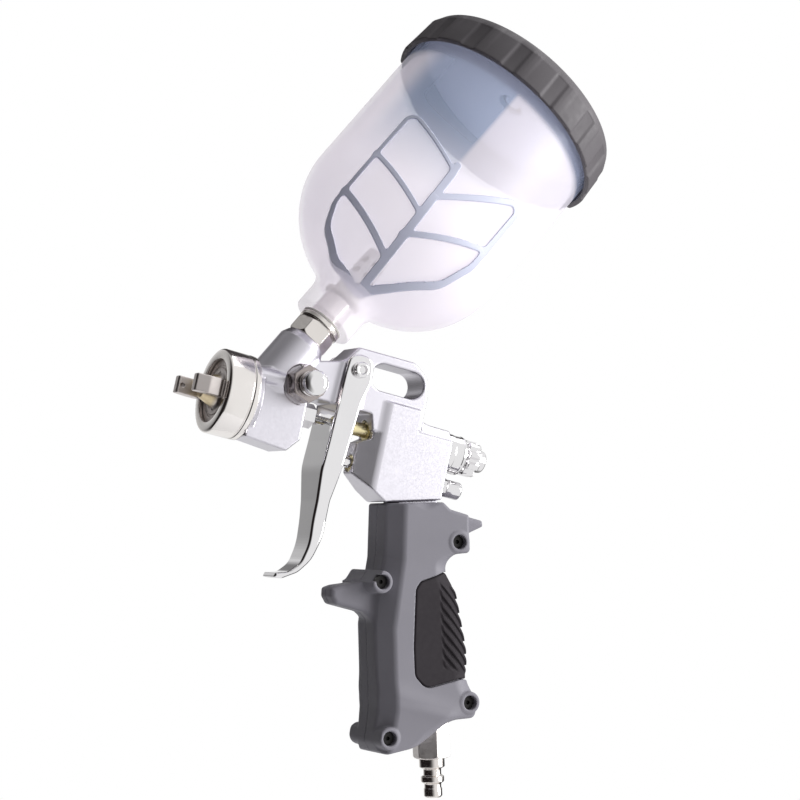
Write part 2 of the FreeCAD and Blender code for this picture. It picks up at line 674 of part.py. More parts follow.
def make_trigger():
    pivot_x = DRIVING_SIZES["pivot_station"]
    pivot_z = DRIVING_SIZES["pivot_height"]
    side = extrude("trigger_side", outline("trigger_side_outline", [
        (51.4, 20.0, 3), (52.2, 29.0, 5), (63.4, 29.2, 5), (64.0, 18.0, 4), (61.6, 10.0, 20),
        (60.0, -8.0, 30), (58.6, -24.0, 20), (57.6, -33.0, 12), (58.6, -47.0, 30),
        (55.6, -58.4, 14), (51.0, -64.4, 8), (44.5, -68.4, 4), (40.8, -68.6, 0.5),
        (41.4, -66.6, 0.5), (46.6, -65.2, 5), (51.0, -60.6, 9), (52.9, -52.0, 25),
        (51.6, -34.0, 30), (49.8, -21.0, 22), (50.4, -9.0, 20),
    ]), size("arm_outside"), size("arm_outside"))
    front = outline("trigger_front_outline", [
        (-11.2, 34.0, 0), (11.2, 34.0, 0), (11.2, -18.0, 30), (7.4, -42.0, 30),
        (7.4, -52.0, 20), (6.2, -72.0, 0), (-6.2, -72.0, 0), (-7.4, -52.0, 20),
        (-7.4, -42.0, 30), (-11.2, -18.0, 30),
    ], FreeCAD.Rotation(V(0, 1, 0), V(0, 0, 1), V(1, 0, 0), "XYZ"), V(36, 0, 0))
    blade = common("trigger_blade", side, extrude("trigger_front", front, 40.0, 0.0, X_AXIS))
    above = extrude("trigger_gap_above", outline("trigger_gap_above_outline", [
        (44.0, -1.4, 0), (56.0, -1.4, 0), (56.0, -8.0, 0), (80.0, -8.0, 0), (80.0, 40.0, 0),
        (44.0, 40.0, 0)]), size("arm_inside"), size("arm_inside"))
    behind = extrude("trigger_gap_behind", outline("trigger_gap_behind_outline", [
        (53.4, 2.0, 0), (53.4, -9.0, 20), (52.4, -21.0, 20), (53.8, -34.0, 20),
        (56.6, -44.0, 0), (70.0, -44.0, 0), (70.0, 2.0, 0)]),
        size("arm_inside"), size("arm_inside"))
    inner = outline("trigger_inner_outline", [
        (-9.4, 42.0, 0), (9.4, 42.0, 0), (9.4, -18.0, 30), (5.4, -44.0, 0), (-5.4, -44.0, 0),
        (-9.4, -18.0, 30)],
        FreeCAD.Rotation(V(0, 1, 0), V(0, 0, 1), V(1, 0, 0), "XYZ"), V(36, 0, 0))
    hollow = common("trigger_hollow", fuse("trigger_gaps", [above, behind]),
                    extrude("trigger_inner", inner, 50.0, 0.0, X_AXIS))
    pivot = cylinder("trigger_pivot_hole", along_z(V(pivot_x, -15, pivot_z), Y_AXIS),
                     size("pivot_radius") + RUN_GAP, 30)
    notch = cylinder("trigger_needle_notch", along_z(V(44, 0, 0), X_AXIS), 2.2, 12)
    keep("trigger", cut("trigger", blade, [hollow, pivot, notch]))

    pin_place = FreeCAD.Placement(V(pivot_x, 14.0, pivot_z), FreeCAD.Rotation(X_AXIS, V(0, -1, 0)))
    keep("pivot_pin", turned("pivot_pin", pin_place, [
        (2.5, 1.4), (2.5, size("pivot_radius")), (25.5, size("pivot_radius")), (25.5, 3.4),
        (27.4, 3.4), (28.0, 2.8), (28.0, 0), (14.0, 0), (14.0, 1.4),
    ]))
    keep("pivot_screw", turned("pivot_screw", pin_place, [
        (0, 0), (0, 3.0), (0.4, 3.4), (2.5, 3.4), (2.5, 1.4), (13.0, 1.4), (13.0, 0),
    ]))


# ---------------------------------------------------------------- cup

def cup_shell_profile(sketch, inset, start, rim, neck_radius):
    """Half section of the cup: a neck, a half-elliptical dome and a straight wall."""
    dome_s = DRIVING_SIZES["dome_top"]
    radial = DRIVING_SIZES["dome_radius"] - inset
    axial = DRIVING_SIZES["dome_depth"] - inset
    rim_radius = DRIVING_SIZES["cup_radius"] - inset
    flare = 8.0
    # The dome is a quarter of an ellipse, cut short where the neck's arc runs into it.
    meet = math.radians(63.0)
    meet_point = V(dome_s - axial * math.sin(meet), radial * math.cos(meet), 0)
    top = V(dome_s, radial, 0)
    ellipse = Part.Ellipse(top, V(dome_s - axial, 0, 0), V(dome_s, 0, 0))
    dome = Part.ArcOfEllipse(ellipse, 0.0, meet)
    neck_end = V(meet_point.x - flare, neck_radius, 0)
    bulge = V(meet_point.x - 0.36 * flare, neck_radius + 0.18 * (meet_point.y - neck_radius), 0)
    sketch.addGeometry(Part.LineSegment(V(start, 0, 0), V(start, neck_radius, 0)), False)
    sketch.addGeometry(Part.LineSegment(V(start, neck_radius, 0), neck_end), False)
    sketch.addGeometry(Part.Arc(neck_end, bulge, meet_point), False)
    sketch.addGeometry(dome, False)
    sketch.addGeometry(Part.LineSegment(top, V(rim, rim_radius, 0)), False)
    sketch.addGeometry(Part.LineSegment(V(rim, rim_radius, 0), V(rim, 0, 0)), False)
    sketch.addGeometry(Part.LineSegment(V(rim, 0, 0), V(start, 0, 0)), False)


def cup_solid(name, inset, start, rim, neck_radius):
    body = doc.addObject("PartDesign::Body", name)
    sketch = body_sketch(body, "XZ_Plane", name + "_section")
    cup_shell_profile(sketch, inset, start, rim, neck_radius)
    turn = body.newObject("PartDesign::Revolution", name + "_turn")
    turn.Profile = sketch
    turn.ReferenceAxis = (sketch, ["H_Axis"])
    turn.Angle = 360
    body.Placement = CUP_PLACE
    return body


def make_cup():
    lid_end = DRIVING_SIZES["lid_end"]
    rim = lid_end - 5.6
    wall = DRIVING_SIZES["cup_wall"]
    outside = cup_solid("cup_outside", 0.0, 45.4, rim, DRIVING_SIZES["collar_outer"])
    inside = cup_solid("cup_inside", wall, 58.4, rim + 1.0, 11.4)
    thread = cylinder("cup_thread_bore", along_z(CUP_ORIGIN + CUP_AXIS * 45, CUP_AXIS),
                      size("nipple_thread") + FREE_GAP, 15.0)
    keep("cup", cut("cup", outside, [inside, thread]))

    hex_part = hexagon("cup_nipple_hex", along_z(CUP_ORIGIN + CUP_AXIS * 34, CUP_AXIS, 20.0),
                       size("nipple_flats"), 8.4)
    stud = turned("cup_nipple_stud", CUP_PLACE, [
        (24.0, 0), (24.0, 6.0), (40.0, 6.0), (40.0, size("nipple_thread")),
        (56.0, size("nipple_thread")), (57.0, size("nipple_thread") - 1.0), (57.0, 0)])
    washer = turned("cup_nipple_face", CUP_PLACE, [
        (42.0, 0), (42.0, 8.6), (43.4, 9.4), (44.4, 9.4), (44.4, 0)])
    way = cylinder("cup_nipple_way", along_z(CUP_ORIGIN + CUP_AXIS * 20, CUP_AXIS), 4.0, 40.0)
    solid = fuse("cup_nipple_solid", [hex_part, stud, washer])
    keep("cup_nipple", cut("cup_nipple", solid, way))
    keep("cup_gasket", turned("cup_gasket", CUP_PLACE, tube_profile(44.4, 45.2, 7.0, 9.4)))

    strainer = turned("strainer_cup", CUP_PLACE, [
        (58.5, 3.2), (58.5, 8.6), (59.6, 8.6), (59.6, 6.2), (84.0, 5.4), (84.0, 0),
        (83.0, 0), (83.0, 4.6), (60.6, 5.4), (60.6, 3.2),
    ])
    windows = []
    for ring in range(3):
        for turn in range(3):
            angle = math.radians(60 * turn)
            across = V(0, math.cos(angle), 0) + CUP_AXIS.cross(Y_AXIS) * math.sin(angle)
            centre = CUP_ORIGIN + CUP_AXIS * (66.0 + 6.0 * ring)
            windows.append(cylinder(f"strainer_window_{ring}_{turn}",
                                    along_z(centre - across * 8, across), 1.7, 16.0))
    keep("cup_strainer", cut("cup_strainer", strainer, windows))

    lid = turned("lid", along_x(CUP_ORIGIN + CUP_AXIS * DRIVING_SIZES["lid_start"], CUP_AXIS), [
        (0, size("cup_radius") + 0.8), (0, size("lid_radius") - 0.4), (0.5, size("lid_radius")),
        (15.4, size("lid_radius") - 0.7), (17.6, size("lid_radius") - 2.0),
        (size("lid_end") - size("lid_start"), size("lid_radius") - 5.0),
        (size("lid_end") - size("lid_start"), 4.0), (15.8, 4.0),
        (15.8, size("cup_radius") + 0.8),
    ])
    flute(lid, DRIVING_SIZES["lid_radius"] + 4.2, 5.2, 16, 19.0)
    keep("lid", lid)
    keep("lid_liner", turned("lid_liner", CUP_PLACE, tube_profile(
        lid_end - 5.4, lid_end - 3.0, 6.0, size("cup_radius") - 0.6)))
    keep("lid_vent", turned("lid_vent", CUP_PLACE, [
        (lid_end - 4.0, 0), (lid_end - 4.0, 3.6), (lid_end + 0.3, 3.6), (lid_end + 0.3, 5.4),
        (lid_end + 2.2, 5.0), (lid_end + 3.0, 4.0), (lid_end + 3.0, 0),
    ]))


# ---------------------------------------------------------------- handle

HANDLE_OUTLINE = [
    (82.6, -28.6, 1.5), (106.0, -23.0, 2), (110.0, -24.9, 3), (129.6, -24.9, 1), (130.6, -27.4, 1),
    (122.8, -33.0, 3), (123.2, -40.4, 2.0), (114.2, -43.0, 4.0), (116.4, -49.6, 8),
    (123.0, -56.5, 20), (134.6, -82.0, 40), (135.8, -92.0, 10), (142.8, -99.4, 4),
    (141.8, -107.2, 4), (129.0, -110.6, 14), (118.6, -123.6, 14), (103.0, -130.4, 3.5),
    (98.8, -125.5, 5), (97.6, -112.0, 20), (88.4, -76.5, 4), (84.0, -74.2, 3), (70.6, -73.8, 2),
    (68.0, -71.0, 1.5), (67.4, -67.4, 1.5), (70.4, -65.6, 4), (82.2, -61.4, 3), (86.8, -50.0, 8),
]
HOLLOW_OUTLINE = [
    (87.4, -32.4, 2), (106.0, -28.2, 2), (113.6, -29.4, 2), (111.4, -43.4, 3), (113.6, -52.0, 8),
    (120.4, -60.4, 20), (130.8, -84.0, 30), (132.4, -94.6, 8), (137.6, -101.2, 3),
    (136.4, -104.0, 2), (125.6, -107.6, 10), (115.4, -120.0, 10), (104.2, -126.6, 2),
    (101.8, -122.0, 4), (92.4, -78.0, 10), (90.4, -56.0, 12),
]
PAD_OUTLINE = [
    (101.4, -60.4, 3), (103.0, -57.0, 3), (114.0, -50.6, 1), (160.0, -48.0, 0), (160.0, -89.0, 0),
    (130.0, -92.6, 3), (115.0, -99.6, 5), (109.0, -95.6, 4), (105.8, -84.0, 20),
]
HANDLE_SCREWS = [(85.4, -60.8), (116.6, -37.0), (136.4, -101.5), (102.9, -122.9)]


def one_side(name, sketch, side, width, overlap=0.0):
    """Extrudes a sketch to one side of the middle plane, and a little past it."""
    if side < 0:
        return extrude(name, sketch, width, overlap)
    return extrude(name, sketch, overlap, width)


def handle_width_limits(side):
    """Blocks that narrow the finger hook and the thumb spur on one side."""
    hook_low, hook_high = sorted((side * 6.0, side * 20.0))
    spur_low, spur_high = sorted((side * 8.0, side * 20.0))
    hook = block(f"hook_limit_{side + 1}", (60.0, hook_low, -74.6), (78.6, hook_high, -62.0))
    hook_root = one_side(f"hook_root_{side + 1}", outline(f"hook_root_outline_{side + 1}", [
        (78.0, -74.9, 0), (87.4, -77.6, 0), (85.2, -66.6, 0), (78.0, -62.0, 0)]),
        side, 20.0, -8.0)
    spur = block(f"spur_limit_{side + 1}", (119.0, spur_low, -33.4), (134.0, spur_high, -22.0))
    return [hook, hook_root, spur]


def make_handle():
    grip_half = DRIVING_SIZES["grip_half_width"]
    depth = DRIVING_SIZES["pad_thickness"]
    wall = DRIVING_SIZES["grip_wall"]
    for side, name in ((-1, "left"), (1, "right")):
        raw = one_side(f"handle_{name}_block", outline(f"handle_{name}_outline", HANDLE_OUTLINE),
                       side, size("grip_half_width"))
        rounded = round_edges(f"handle_{name}_rounded", raw, 1.4, in_plane_y(side * grip_half))
        solid = cut(f"handle_{name}_solid", rounded, handle_width_limits(side))
        region = one_side(f"pad_{name}_region", outline(f"pad_{name}_outline", PAD_OUTLINE),
                          side, 20.0)
        core_outline = doc.addObject("Part::Offset2D", f"pad_{name}_core_outline")
        core_outline.Source = doc.getObject(f"handle_{name}_outline")
        core_outline.Value = -depth
        core = one_side(f"pad_{name}_core", core_outline, side, grip_half - depth, 1.0)
        skin = cut(f"pad_{name}_skin", solid, core)
        tube = cylinder(f"pad_{name}_tube_way", along_z(INLET_ORIGIN, INLET_AXIS), 5.0, 90.0)
        pad = cut(f"grip_pad_{name}", common(f"pad_{name}_sheet", skin, region), tube)
        keep(f"grip_pad_{name}", pad)

        hollow = one_side(f"hollow_{name}", outline(f"hollow_{name}_outline", HOLLOW_OUTLINE),
                          side, grip_half - wall, 1.0)
        hollow = cut(f"hollow_{name}_bossed", hollow, screw_bosses(name, side))
        openings = [
            slab(f"tang_way_{name}", [(85.9, -18.0, 0), (104.75, -13.0, 0), (110.5, -40.0, 0),
                                      (93.5, -40.0, 0)], 7.5),
            cylinder(f"tube_way_{name}", along_z(INLET_ORIGIN, INLET_AXIS), 5.0, 90.0),
            cylinder(f"coupling_way_{name}", along_z(INLET_ORIGIN + INLET_AXIS * 82, INLET_AXIS),
                     8.4, 20.0),
        ]
        openings += screw_holes(name, side)
        keep(f"handle_{name}", cut(f"handle_{name}", solid, [hollow, pad] + openings))
    keep("handle_screws", fuse("handle_screws", [
        handle_screw(number, x, z) for number, (x, z) in enumerate(HANDLE_SCREWS)]))


def screw_bosses(name, side):
    """Pillars round the screws, left standing in the hollow."""
    start = -20.0 if side < 0 else -1.0
    return [cylinder(f"boss_{name}_{number}", along_z(V(x, start, z), Y_AXIS), 5.0, 21.0)
            for number, (x, z) in enumerate(HANDLE_SCREWS)]


def screw_holes(name, side):
    """Counterbores on the left half, and shank holes through both."""
    holes = []
    shank = DRIVING_SIZES["screw_radius"] - 1.2
    for number, (x, z) in enumerate(HANDLE_SCREWS):
        start = -17.0 if side < 0 else -1.0
        length = 18.0 if side < 0 else 12.0
        holes.append(cylinder(f"shank_hole_{name}_{number}",
                              along_z(V(x, start, z), Y_AXIS), shank, length))
        if side < 0:
            holes.append(cylinder(f"counterbore_{number}",
                                  along_z(V(x, -17.0, z), Y_AXIS), 3.0, 6.0))
    return holes


def handle_screw(number, x, z):
    shank = turned(f"handle_screw_{number}", FreeCAD.Placement(
        V(x, -13.0, z), FreeCAD.Rotation(X_AXIS, Y_AXIS)), [
            (0, 0.9), (0, size("screw_radius")), (2.0, size("screw_radius")),
            (2.0, size("screw_radius") - 1.2), (23.5, size("screw_radius") - 1.2), (23.5, 0),
            (1.2, 0), (1.2, 0.9)])
    return shank


def make_air_inlet():
    keep("air_tube", turned("air_tube", INLET_PLACE, tube_profile(
        2.0, 86.6, size("tube_radius") - 1.3, size("tube_radius"))))
    keep("inlet_washer", turned("inlet_washer", INLET_PLACE, tube_profile(
        86.6, 88.2, size("tube_radius") - 1.3, 8.3)))
    nut = hexagon("inlet_coupling_hex", along_z(INLET_ORIGIN + INLET_AXIS * 88.2, INLET_AXIS, 8.0),
                  size("coupling_flats"), 17.6)
    trim = turned("inlet_coupling_trim", INLET_PLACE, [
        (88.0, 0), (88.0, 7.5), (89.0, 9.0), (104.6, 9.0), (106.0, 7.2), (106.0, 0)])
    way = cylinder("inlet_coupling_way", along_z(INLET_ORIGIN + INLET_AXIS * 88, INLET_AXIS),
                   3.7, 20.0)
    keep("inlet_coupling", cut("inlet_coupling", common("inlet_coupling_nut", nut, trim), way))
    keep("inlet_plug", turned("inlet_plug", INLET_PLACE, [
        (100.0, 2.4), (100.0, 3.7), (105.8, 3.7), (105.8, 5.4), (109.6, 5.4), (110.2, 4.8),
        (110.4, 3.8), (113.0, 3.8), (113.6, 4.9), (115.8, 4.9), (116.6, 3.6), (118.2, 3.6),
        (118.6, 3.9), (121.8, 3.9), (122.4, 3.3), (122.4, 2.4),
    ]))


# ---------------------------------------------------------------- run

def broken_objects():
    return [item.Name for item in doc.Objects
            if "Invalid" in item.State or "Error" in item.State]


def write_parts():
    os.makedirs("parts", exist_ok=True)
    for node, item in sorted(pieces.items()):
        shape = item.Shape
        if shape.isNull() or not shape.isValid():
            raise SystemExit(f"{node} has no valid shape")
        print(f"{node}: {len(shape.Solids)} solid, {shape.Volume:.0f} mm3")
        shape.exportStep(f"parts/{node}.step")


def main():
    make_air_cap_end()
    make_nozzle()
    make_body()
    make_needle_train()
    make_air_valve()
    make_fan_control()
    make_trigger()
    make_cup()
    make_handle()
    make_air_inlet()
    doc.recompute()
    failed = broken_objects()
    if failed:
        raise SystemExit("not built: " + ", ".join(failed))
    write_parts()
    print(len(pieces), "sub-parts")


main()
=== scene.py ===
import json
import math

import bmesh
import bpy
import numpy as np
import openvdb
from mathutils import Matrix, Vector


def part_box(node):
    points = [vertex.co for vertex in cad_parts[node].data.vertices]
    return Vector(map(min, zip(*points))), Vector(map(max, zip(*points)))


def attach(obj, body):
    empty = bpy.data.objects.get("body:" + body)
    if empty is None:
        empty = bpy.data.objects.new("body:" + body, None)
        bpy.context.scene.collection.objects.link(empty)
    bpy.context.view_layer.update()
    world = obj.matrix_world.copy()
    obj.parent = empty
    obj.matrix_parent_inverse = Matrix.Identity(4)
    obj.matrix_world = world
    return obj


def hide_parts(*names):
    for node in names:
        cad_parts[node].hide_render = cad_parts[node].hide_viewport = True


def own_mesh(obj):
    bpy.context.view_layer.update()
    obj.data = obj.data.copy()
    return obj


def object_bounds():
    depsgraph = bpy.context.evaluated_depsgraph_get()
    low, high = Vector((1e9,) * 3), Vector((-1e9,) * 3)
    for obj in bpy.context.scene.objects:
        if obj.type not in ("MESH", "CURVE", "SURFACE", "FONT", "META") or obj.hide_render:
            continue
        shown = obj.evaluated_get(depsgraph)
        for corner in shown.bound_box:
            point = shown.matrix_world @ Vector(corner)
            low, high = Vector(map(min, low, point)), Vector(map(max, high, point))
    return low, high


# Looks of the gravity-feed HVLP spray gun. Shapes are worked out in millimetres in the CAD's own
# frame: -X is the spray direction, +Z is up, -Y is the side of the fan control.

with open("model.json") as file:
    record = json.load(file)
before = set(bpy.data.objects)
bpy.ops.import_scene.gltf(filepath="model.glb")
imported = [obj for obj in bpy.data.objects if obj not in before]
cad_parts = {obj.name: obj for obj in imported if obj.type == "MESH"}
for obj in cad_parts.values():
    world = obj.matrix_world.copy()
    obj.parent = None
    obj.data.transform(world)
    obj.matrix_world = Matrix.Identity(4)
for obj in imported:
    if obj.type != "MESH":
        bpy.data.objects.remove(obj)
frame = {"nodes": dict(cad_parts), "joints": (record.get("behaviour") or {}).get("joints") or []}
CAD_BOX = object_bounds()

MM = 0.001
SHAPE_STEP = 1     # coarser meshes while trying things out
TURN_STEPS = 192    # facets round a turned piece
FOLD_ANGLE = math.radians(38)             # a fold sharper than this stays sharp in the shading
ON_AXIS = 1e-6                            # a turned piece has no faces within this radius
LONGEST_SHIFT = 0.6                       # how far a point may move onto its surface, in mesh steps


def low_high(node):
    """A CAD node's box, in millimetres."""
    low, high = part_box(node)
    return np.array(low) / MM, np.array(high) / MM


# ---------------- places, read from the frame

RING_LENGTH, RING_RADIUS, _ = low_high("air_cap_ring")[1]
CAP_LOW, CAP_HIGH = low_high("air_cap")
CAP_RADIUS = CAP_HIGH[1]
HORN_REACH = -CAP_LOW[0]
KNOB_LOW, KNOB_HIGH = low_high("fluid_knob")
FAN_X, _, FAN_Z = sum(low_high("fan_knob")) / 2
PIVOT_X, _, PIVOT_Z = sum(low_high("pivot_pin")) / 2
VALVE_Z = sum(low_high("valve_gland"))[2] / 2
# The axes of the cup and of the air inlet, which are driving sizes of the CAD.
CUP_TILT, CUP_STATION = math.radians(29.63), 18.66
CUP_AXIS = np.array([math.sin(CUP_TILT), 0, math.cos(CUP_TILT)])
CUP_ORIGIN = np.array([CUP_STATION, 0, 0])
INLET_RAKE, INLET_STATION, INLET_HEIGHT = math.radians(15.5), 103.3, -25
INLET_AXIS = np.array([math.sin(INLET_RAKE), 0, -math.cos(INLET_RAKE)])
INLET_ORIGIN = np.array([INLET_STATION, 0, INLET_HEIGHT])
X_AXIS = np.array([1.0, 0, 0])
LEFT = np.array([0, -1.0, 0])
# The lattice on the cup faces this way round the cup's axis, a little forward of the left side.
LATTICE_AZIMUTH = math.radians(105.5)
CUP_SIDE = np.array([math.cos(CUP_TILT), 0, -math.sin(CUP_TILT)])
LATTICE_FACING = CUP_SIDE * math.cos(LATTICE_AZIMUTH) + LEFT * math.sin(LATTICE_AZIMUTH)
LATTICE_SIDEWAYS = CUP_SIDE * math.sin(LATTICE_AZIMUTH) - LEFT * math.cos(LATTICE_AZIMUTH)


# ---------------- shapes as distance fields
# A field gives the distance from points to a shape's surface, negative inside it. Outlines are
# lists of corners: two coordinates and the radius that the corner is rounded to.

def meet(first, second, radius=0):
    """The space that is in both shapes, with the edge between them rounded."""
    if not np.any(radius):
        return np.maximum(first, second)
    corner = np.hypot(np.maximum(first + radius, 0), np.maximum(second + radius, 0))
    return np.minimum(np.maximum(first, second), -radius) + corner


def join(first, second, radius=0):
    """Both shapes together, with a fillet where they run into each other."""
    return -meet(-first, -second, radius)


def carve(shape, tool, radius=0):
    """The shape without the tool, with the new edge rounded."""
    return meet(shape, -tool, radius)


def rounded(corners, steps=7):
    """The outline's points, with each corner (a, b, radius) made into an arc."""
    points = []
    count = len(corners)
    for index, (a, b, radius) in enumerate(corners):
        here = np.array([a, b], float)
        before = np.array(corners[index - 1][:2], float) - here
        after = np.array(corners[(index + 1) % count][:2], float) - here
        before /= np.linalg.norm(before)
        after /= np.linalg.norm(after)
        half = math.acos(float(np.clip(before @ after, -1, 1))) / 2
        if radius == 0 or half > math.radians(89):
            points.append(tuple(here))
            continue
        middle = (before + after) / np.linalg.norm(before + after)
        centre = here + middle * radius / math.sin(half)
        start = here + before * radius / math.tan(half) - centre
        end = here + after * radius / math.tan(half) - centre
        swing = math.pi - 2 * half
        for step in range(steps):
            share = step / (steps - 1)
            mix = start * math.sin((1 - share) * swing) + end * math.sin(share * swing)
            points.append(tuple(centre + mix / math.sin(swing)))
    return points


def line_gap(a, b, start, end):
    """Square of the distance in the plane from (a, b) to the straight line between two points."""
    run_a, run_b = end[0] - start[0], end[1] - start[1]
    reach = (a - start[0]) * run_a + (b - start[1]) * run_b
    share = np.clip(reach / (run_a * run_a + run_b * run_b), 0, 1)
    return (a - start[0] - run_a * share) ** 2 + (b - start[1] - run_b * share) ** 2


def polygon(a, b, corners):
    """Distance in the plane from (a, b) to an outline with rounded corners."""
    points = rounded(corners)
    nearest = math.inf
    inside = False
    for start, end in zip(points, points[1:] + points[:1]):
        if math.dist(start, end) < 1e-6:
            continue
        nearest = np.minimum(nearest, line_gap(a, b, start, end))
        (a0, b0), (a1, b1) = start, end
        if b1 != b0:
            crossing = ((b0 > b) != (b1 > b)) & (a < a0 + (b - b0) * (a1 - a0) / (b1 - b0))
            inside = inside ^ crossing
    return np.where(inside, -1, 1) * np.sqrt(nearest)


def along(x, y, z, start, axis):
    """Station along an axis, and distance from it."""
    dx, dy, dz = x - start[0], y - start[1], z - start[2]
    station = dx * axis[0] + dy * axis[1] + dz * axis[2]
    across = dx * dx + dy * dy + dz * dz - station * station
    return station, np.sqrt(np.maximum(across, 0))


def rod(x, y, z, start, axis, radius, length, edge=0):
    """A round bar that starts at a point and runs along an axis."""
    station, distance = along(x, y, z, start, axis)
    return meet(distance - radius, np.abs(station - length / 2) - length / 2, edge)


def hexagon_rod(x, y, z, start, axis, side, flats, length, edge=0):
    """A hexagon bar; side is the direction square to its first flat."""
    station, first, second = (
        along(x, y, z, start, way)[0] for way in (axis, side, np.cross(axis, side)))
    width = None
    for turn in range(3):
        angle = math.pi * turn / 3
        reach = np.abs(first * math.cos(angle) + second * math.sin(angle)) - flats / 2
        width = reach if width is None else meet(width, reach, edge)
    return meet(width, np.abs(station - length / 2) - length / 2, edge)


def ramp(value, start, end):
    """Rises smoothly from 0 at start to 1 at end."""
    share = np.clip((value - start) / (end - start), 0, 1)
    return share * share * (3 - 2 * share)


def from_nearest(angle, count):
    """Angle from the nearest of count places spread evenly round a turn."""
    pitch = 2 * math.pi / count
    return (angle + pitch / 2) % pitch - pitch / 2


def flute(angle, count, half_angle):
    """Depth, from 0 to 1, of round flutes spread evenly round a turned piece."""
    return np.sqrt(np.maximum(1 - (from_nearest(angle, count) / half_angle) ** 2, 0))


# ---------------- meshes

def new_piece(name, places, faces, normals=None):
    """An object from points in millimetres; sharp folds stay sharp where no normals are given."""
    mesh = bpy.data.meshes.new(name)
    mesh.from_pydata((np.asarray(places) * MM).tolist(), [], [tuple(f) for f in faces])
    mesh.validate()
    if normals is None:
        soft = bmesh.new()
        soft.from_mesh(mesh)
        bmesh.ops.remove_doubles(soft, verts=soft.verts, dist=1e-6)
        bmesh.ops.recalc_face_normals(soft, faces=soft.faces)
        for edge in soft.edges:
            edge.smooth = len(edge.link_faces) != 2 or edge.calc_face_angle(0) < FOLD_ANGLE
        soft.to_mesh(mesh)
        soft.free()
        mesh.polygons.foreach_set("use_smooth", [True] * len(mesh.polygons))
    else:
        mesh.shade_smooth()
        mesh.normals_split_custom_set_from_vertices(normals.tolist())
    piece = bpy.data.objects.new(name, mesh)
    bpy.context.scene.collection.objects.link(piece)
    return piece


def slope(field, x, y, z, reach=0.12):
    """The field's direction of steepest rise at each point."""
    rise = np.stack([
        field(x + reach, y, z) - field(x - reach, y, z),
        field(x, y + reach, z) - field(x, y - reach, z),
        field(x, y, z + reach) - field(x, y, z - reach)], axis=1) / (2 * reach)
    size = np.linalg.norm(rise, axis=1, keepdims=True)
    return rise / np.maximum(size, 1e-6)


def sculpt(name, field, low, high, step):
    """Meshes the surface of a field inside a box, and lays each point exactly on it."""
    step *= SHAPE_STEP
    low = np.array(low, float) - 2 * step
    axes = [np.arange(a, b + 2 * step, step) for a, b in zip(low, high)]
    x, y, z = np.meshgrid(*axes, indexing="ij", sparse=True)
    shape = tuple(len(axis) for axis in axes)
    values = np.ascontiguousarray(np.broadcast_to(field(x, y, z), shape), dtype=np.float32)
    grid = openvdb.FloatGrid(float(np.abs(values).max()) + 1)
    grid.copyFromArray(values)
    points, quads = grid.convertToQuads(0)
    places = low + points.astype(float) * step
    for _ in range(2):
        x, y, z = places[:, 0], places[:, 1], places[:, 2]
        normals = slope(field, x, y, z)
        shift = np.clip(field(x, y, z), -LONGEST_SHIFT * step, LONGEST_SHIFT * step)
        places = places - normals * shift[:, None]
    normals = slope(field, places[:, 0], places[:, 1], places[:, 2])
    corners = places[quads[:, :3]]
    facing = np.cross(corners[:, 1] - corners[:, 0], corners[:, 2] - corners[:, 0])
    if np.sum(facing * normals[quads[:, 0]]) < 0:
        quads = quads[:, ::-1]
    return new_piece(name, places, quads.tolist(), normals)


def frame_of(axis):
    """Two directions square to an axis."""
    first = np.cross(axis, LEFT) if abs(axis[1]) < 0.9 else np.cross(axis, X_AXIS)
    first /= np.linalg.norm(first)
    return first, np.cross(axis, first)


def band_faces(pairs, count):
    """Quads between rings of points, for pairs of ring numbers; count is the points in a ring."""
    faces = []
    for first, second in pairs:
        for column in range(count):
            beside = (column + 1) % count
            faces.append((first * count + column, first * count + beside,
                          second * count + beside, second * count + column))
    return faces


def lathe(name, start, axis, corners, radius_at=None, steps=None, slices=1):
    """A turned piece. corners are (station, radius, corner rounding) of a closed section;
    radius_at(angle, station, radius) may then change the radius round the piece."""
    steps = steps or TURN_STEPS
    outline = np.array(rounded(corners, 5))
    if slices > 1:
        outline = sliced(outline, slices)
    first, second = frame_of(axis)
    angle = np.linspace(0, 2 * math.pi, steps, endpoint=False)
    station = np.broadcast_to(outline[:, :1], (len(outline), steps))
    radius = np.broadcast_to(outline[:, 1:], (len(outline), steps))
    if radius_at:
        radius = radius_at(angle[None, :], station, radius)
    places = (np.asarray(start)[None, None, :] + station[..., None] * axis
              + (radius * np.cos(angle))[..., None] * first
              + (radius * np.sin(angle))[..., None] * second)
    pairs = [(row, (row + 1) % len(outline)) for row in range(len(outline))]
    pairs = [pair for pair in pairs if outline[list(pair), 1].max() > ON_AXIS]
    return new_piece(name, places.reshape(-1, 3), band_faces(pairs, steps))


def sliced(outline, longest):
    """Adds points to an outline so that no run is much longer than a slice."""
    points = []
    for start, end in zip(outline, np.roll(outline, -1, axis=0)):
        parts = max(1, int(math.ceil(np.linalg.norm(end - start) / longest)))
        for part in range(parts):
            points.append(start + (end - start) * part / parts)
    return np.array(points)


# ---------------- materials

METAL_PATCHES, PLASTIC_PATCHES = 45, 60    # patches of slightly different tone per metre
NOISE_LOW, NOISE_HIGH = 0.3, 0.7           # nearly all of a noise's values lie between these


def material_nodes(name):
    material = bpy.data.materials.new(name)
    material.use_nodes = True
    tree = material.node_tree
    return material, tree, tree.nodes["Principled BSDF"]


def feed(tree, socket, value):
    """Links an input to another node's output, or sets it to a value or a colour."""
    if isinstance(value, bpy.types.NodeSocket):
        tree.links.new(value, socket)
    else:
        socket.default_value = (*value, 1) if socket.type == "RGBA" else value


def add_node(tree, kind, inputs=None, **settings):
    """Adds a node. Its inputs are given by name or number, as values or other nodes' outputs."""
    node = tree.nodes.new(kind)
    for key, value in settings.items():
        setattr(node, key, value)
    for key, value in (inputs or {}).items():
        feed(tree, node.inputs[key], value)
    return node


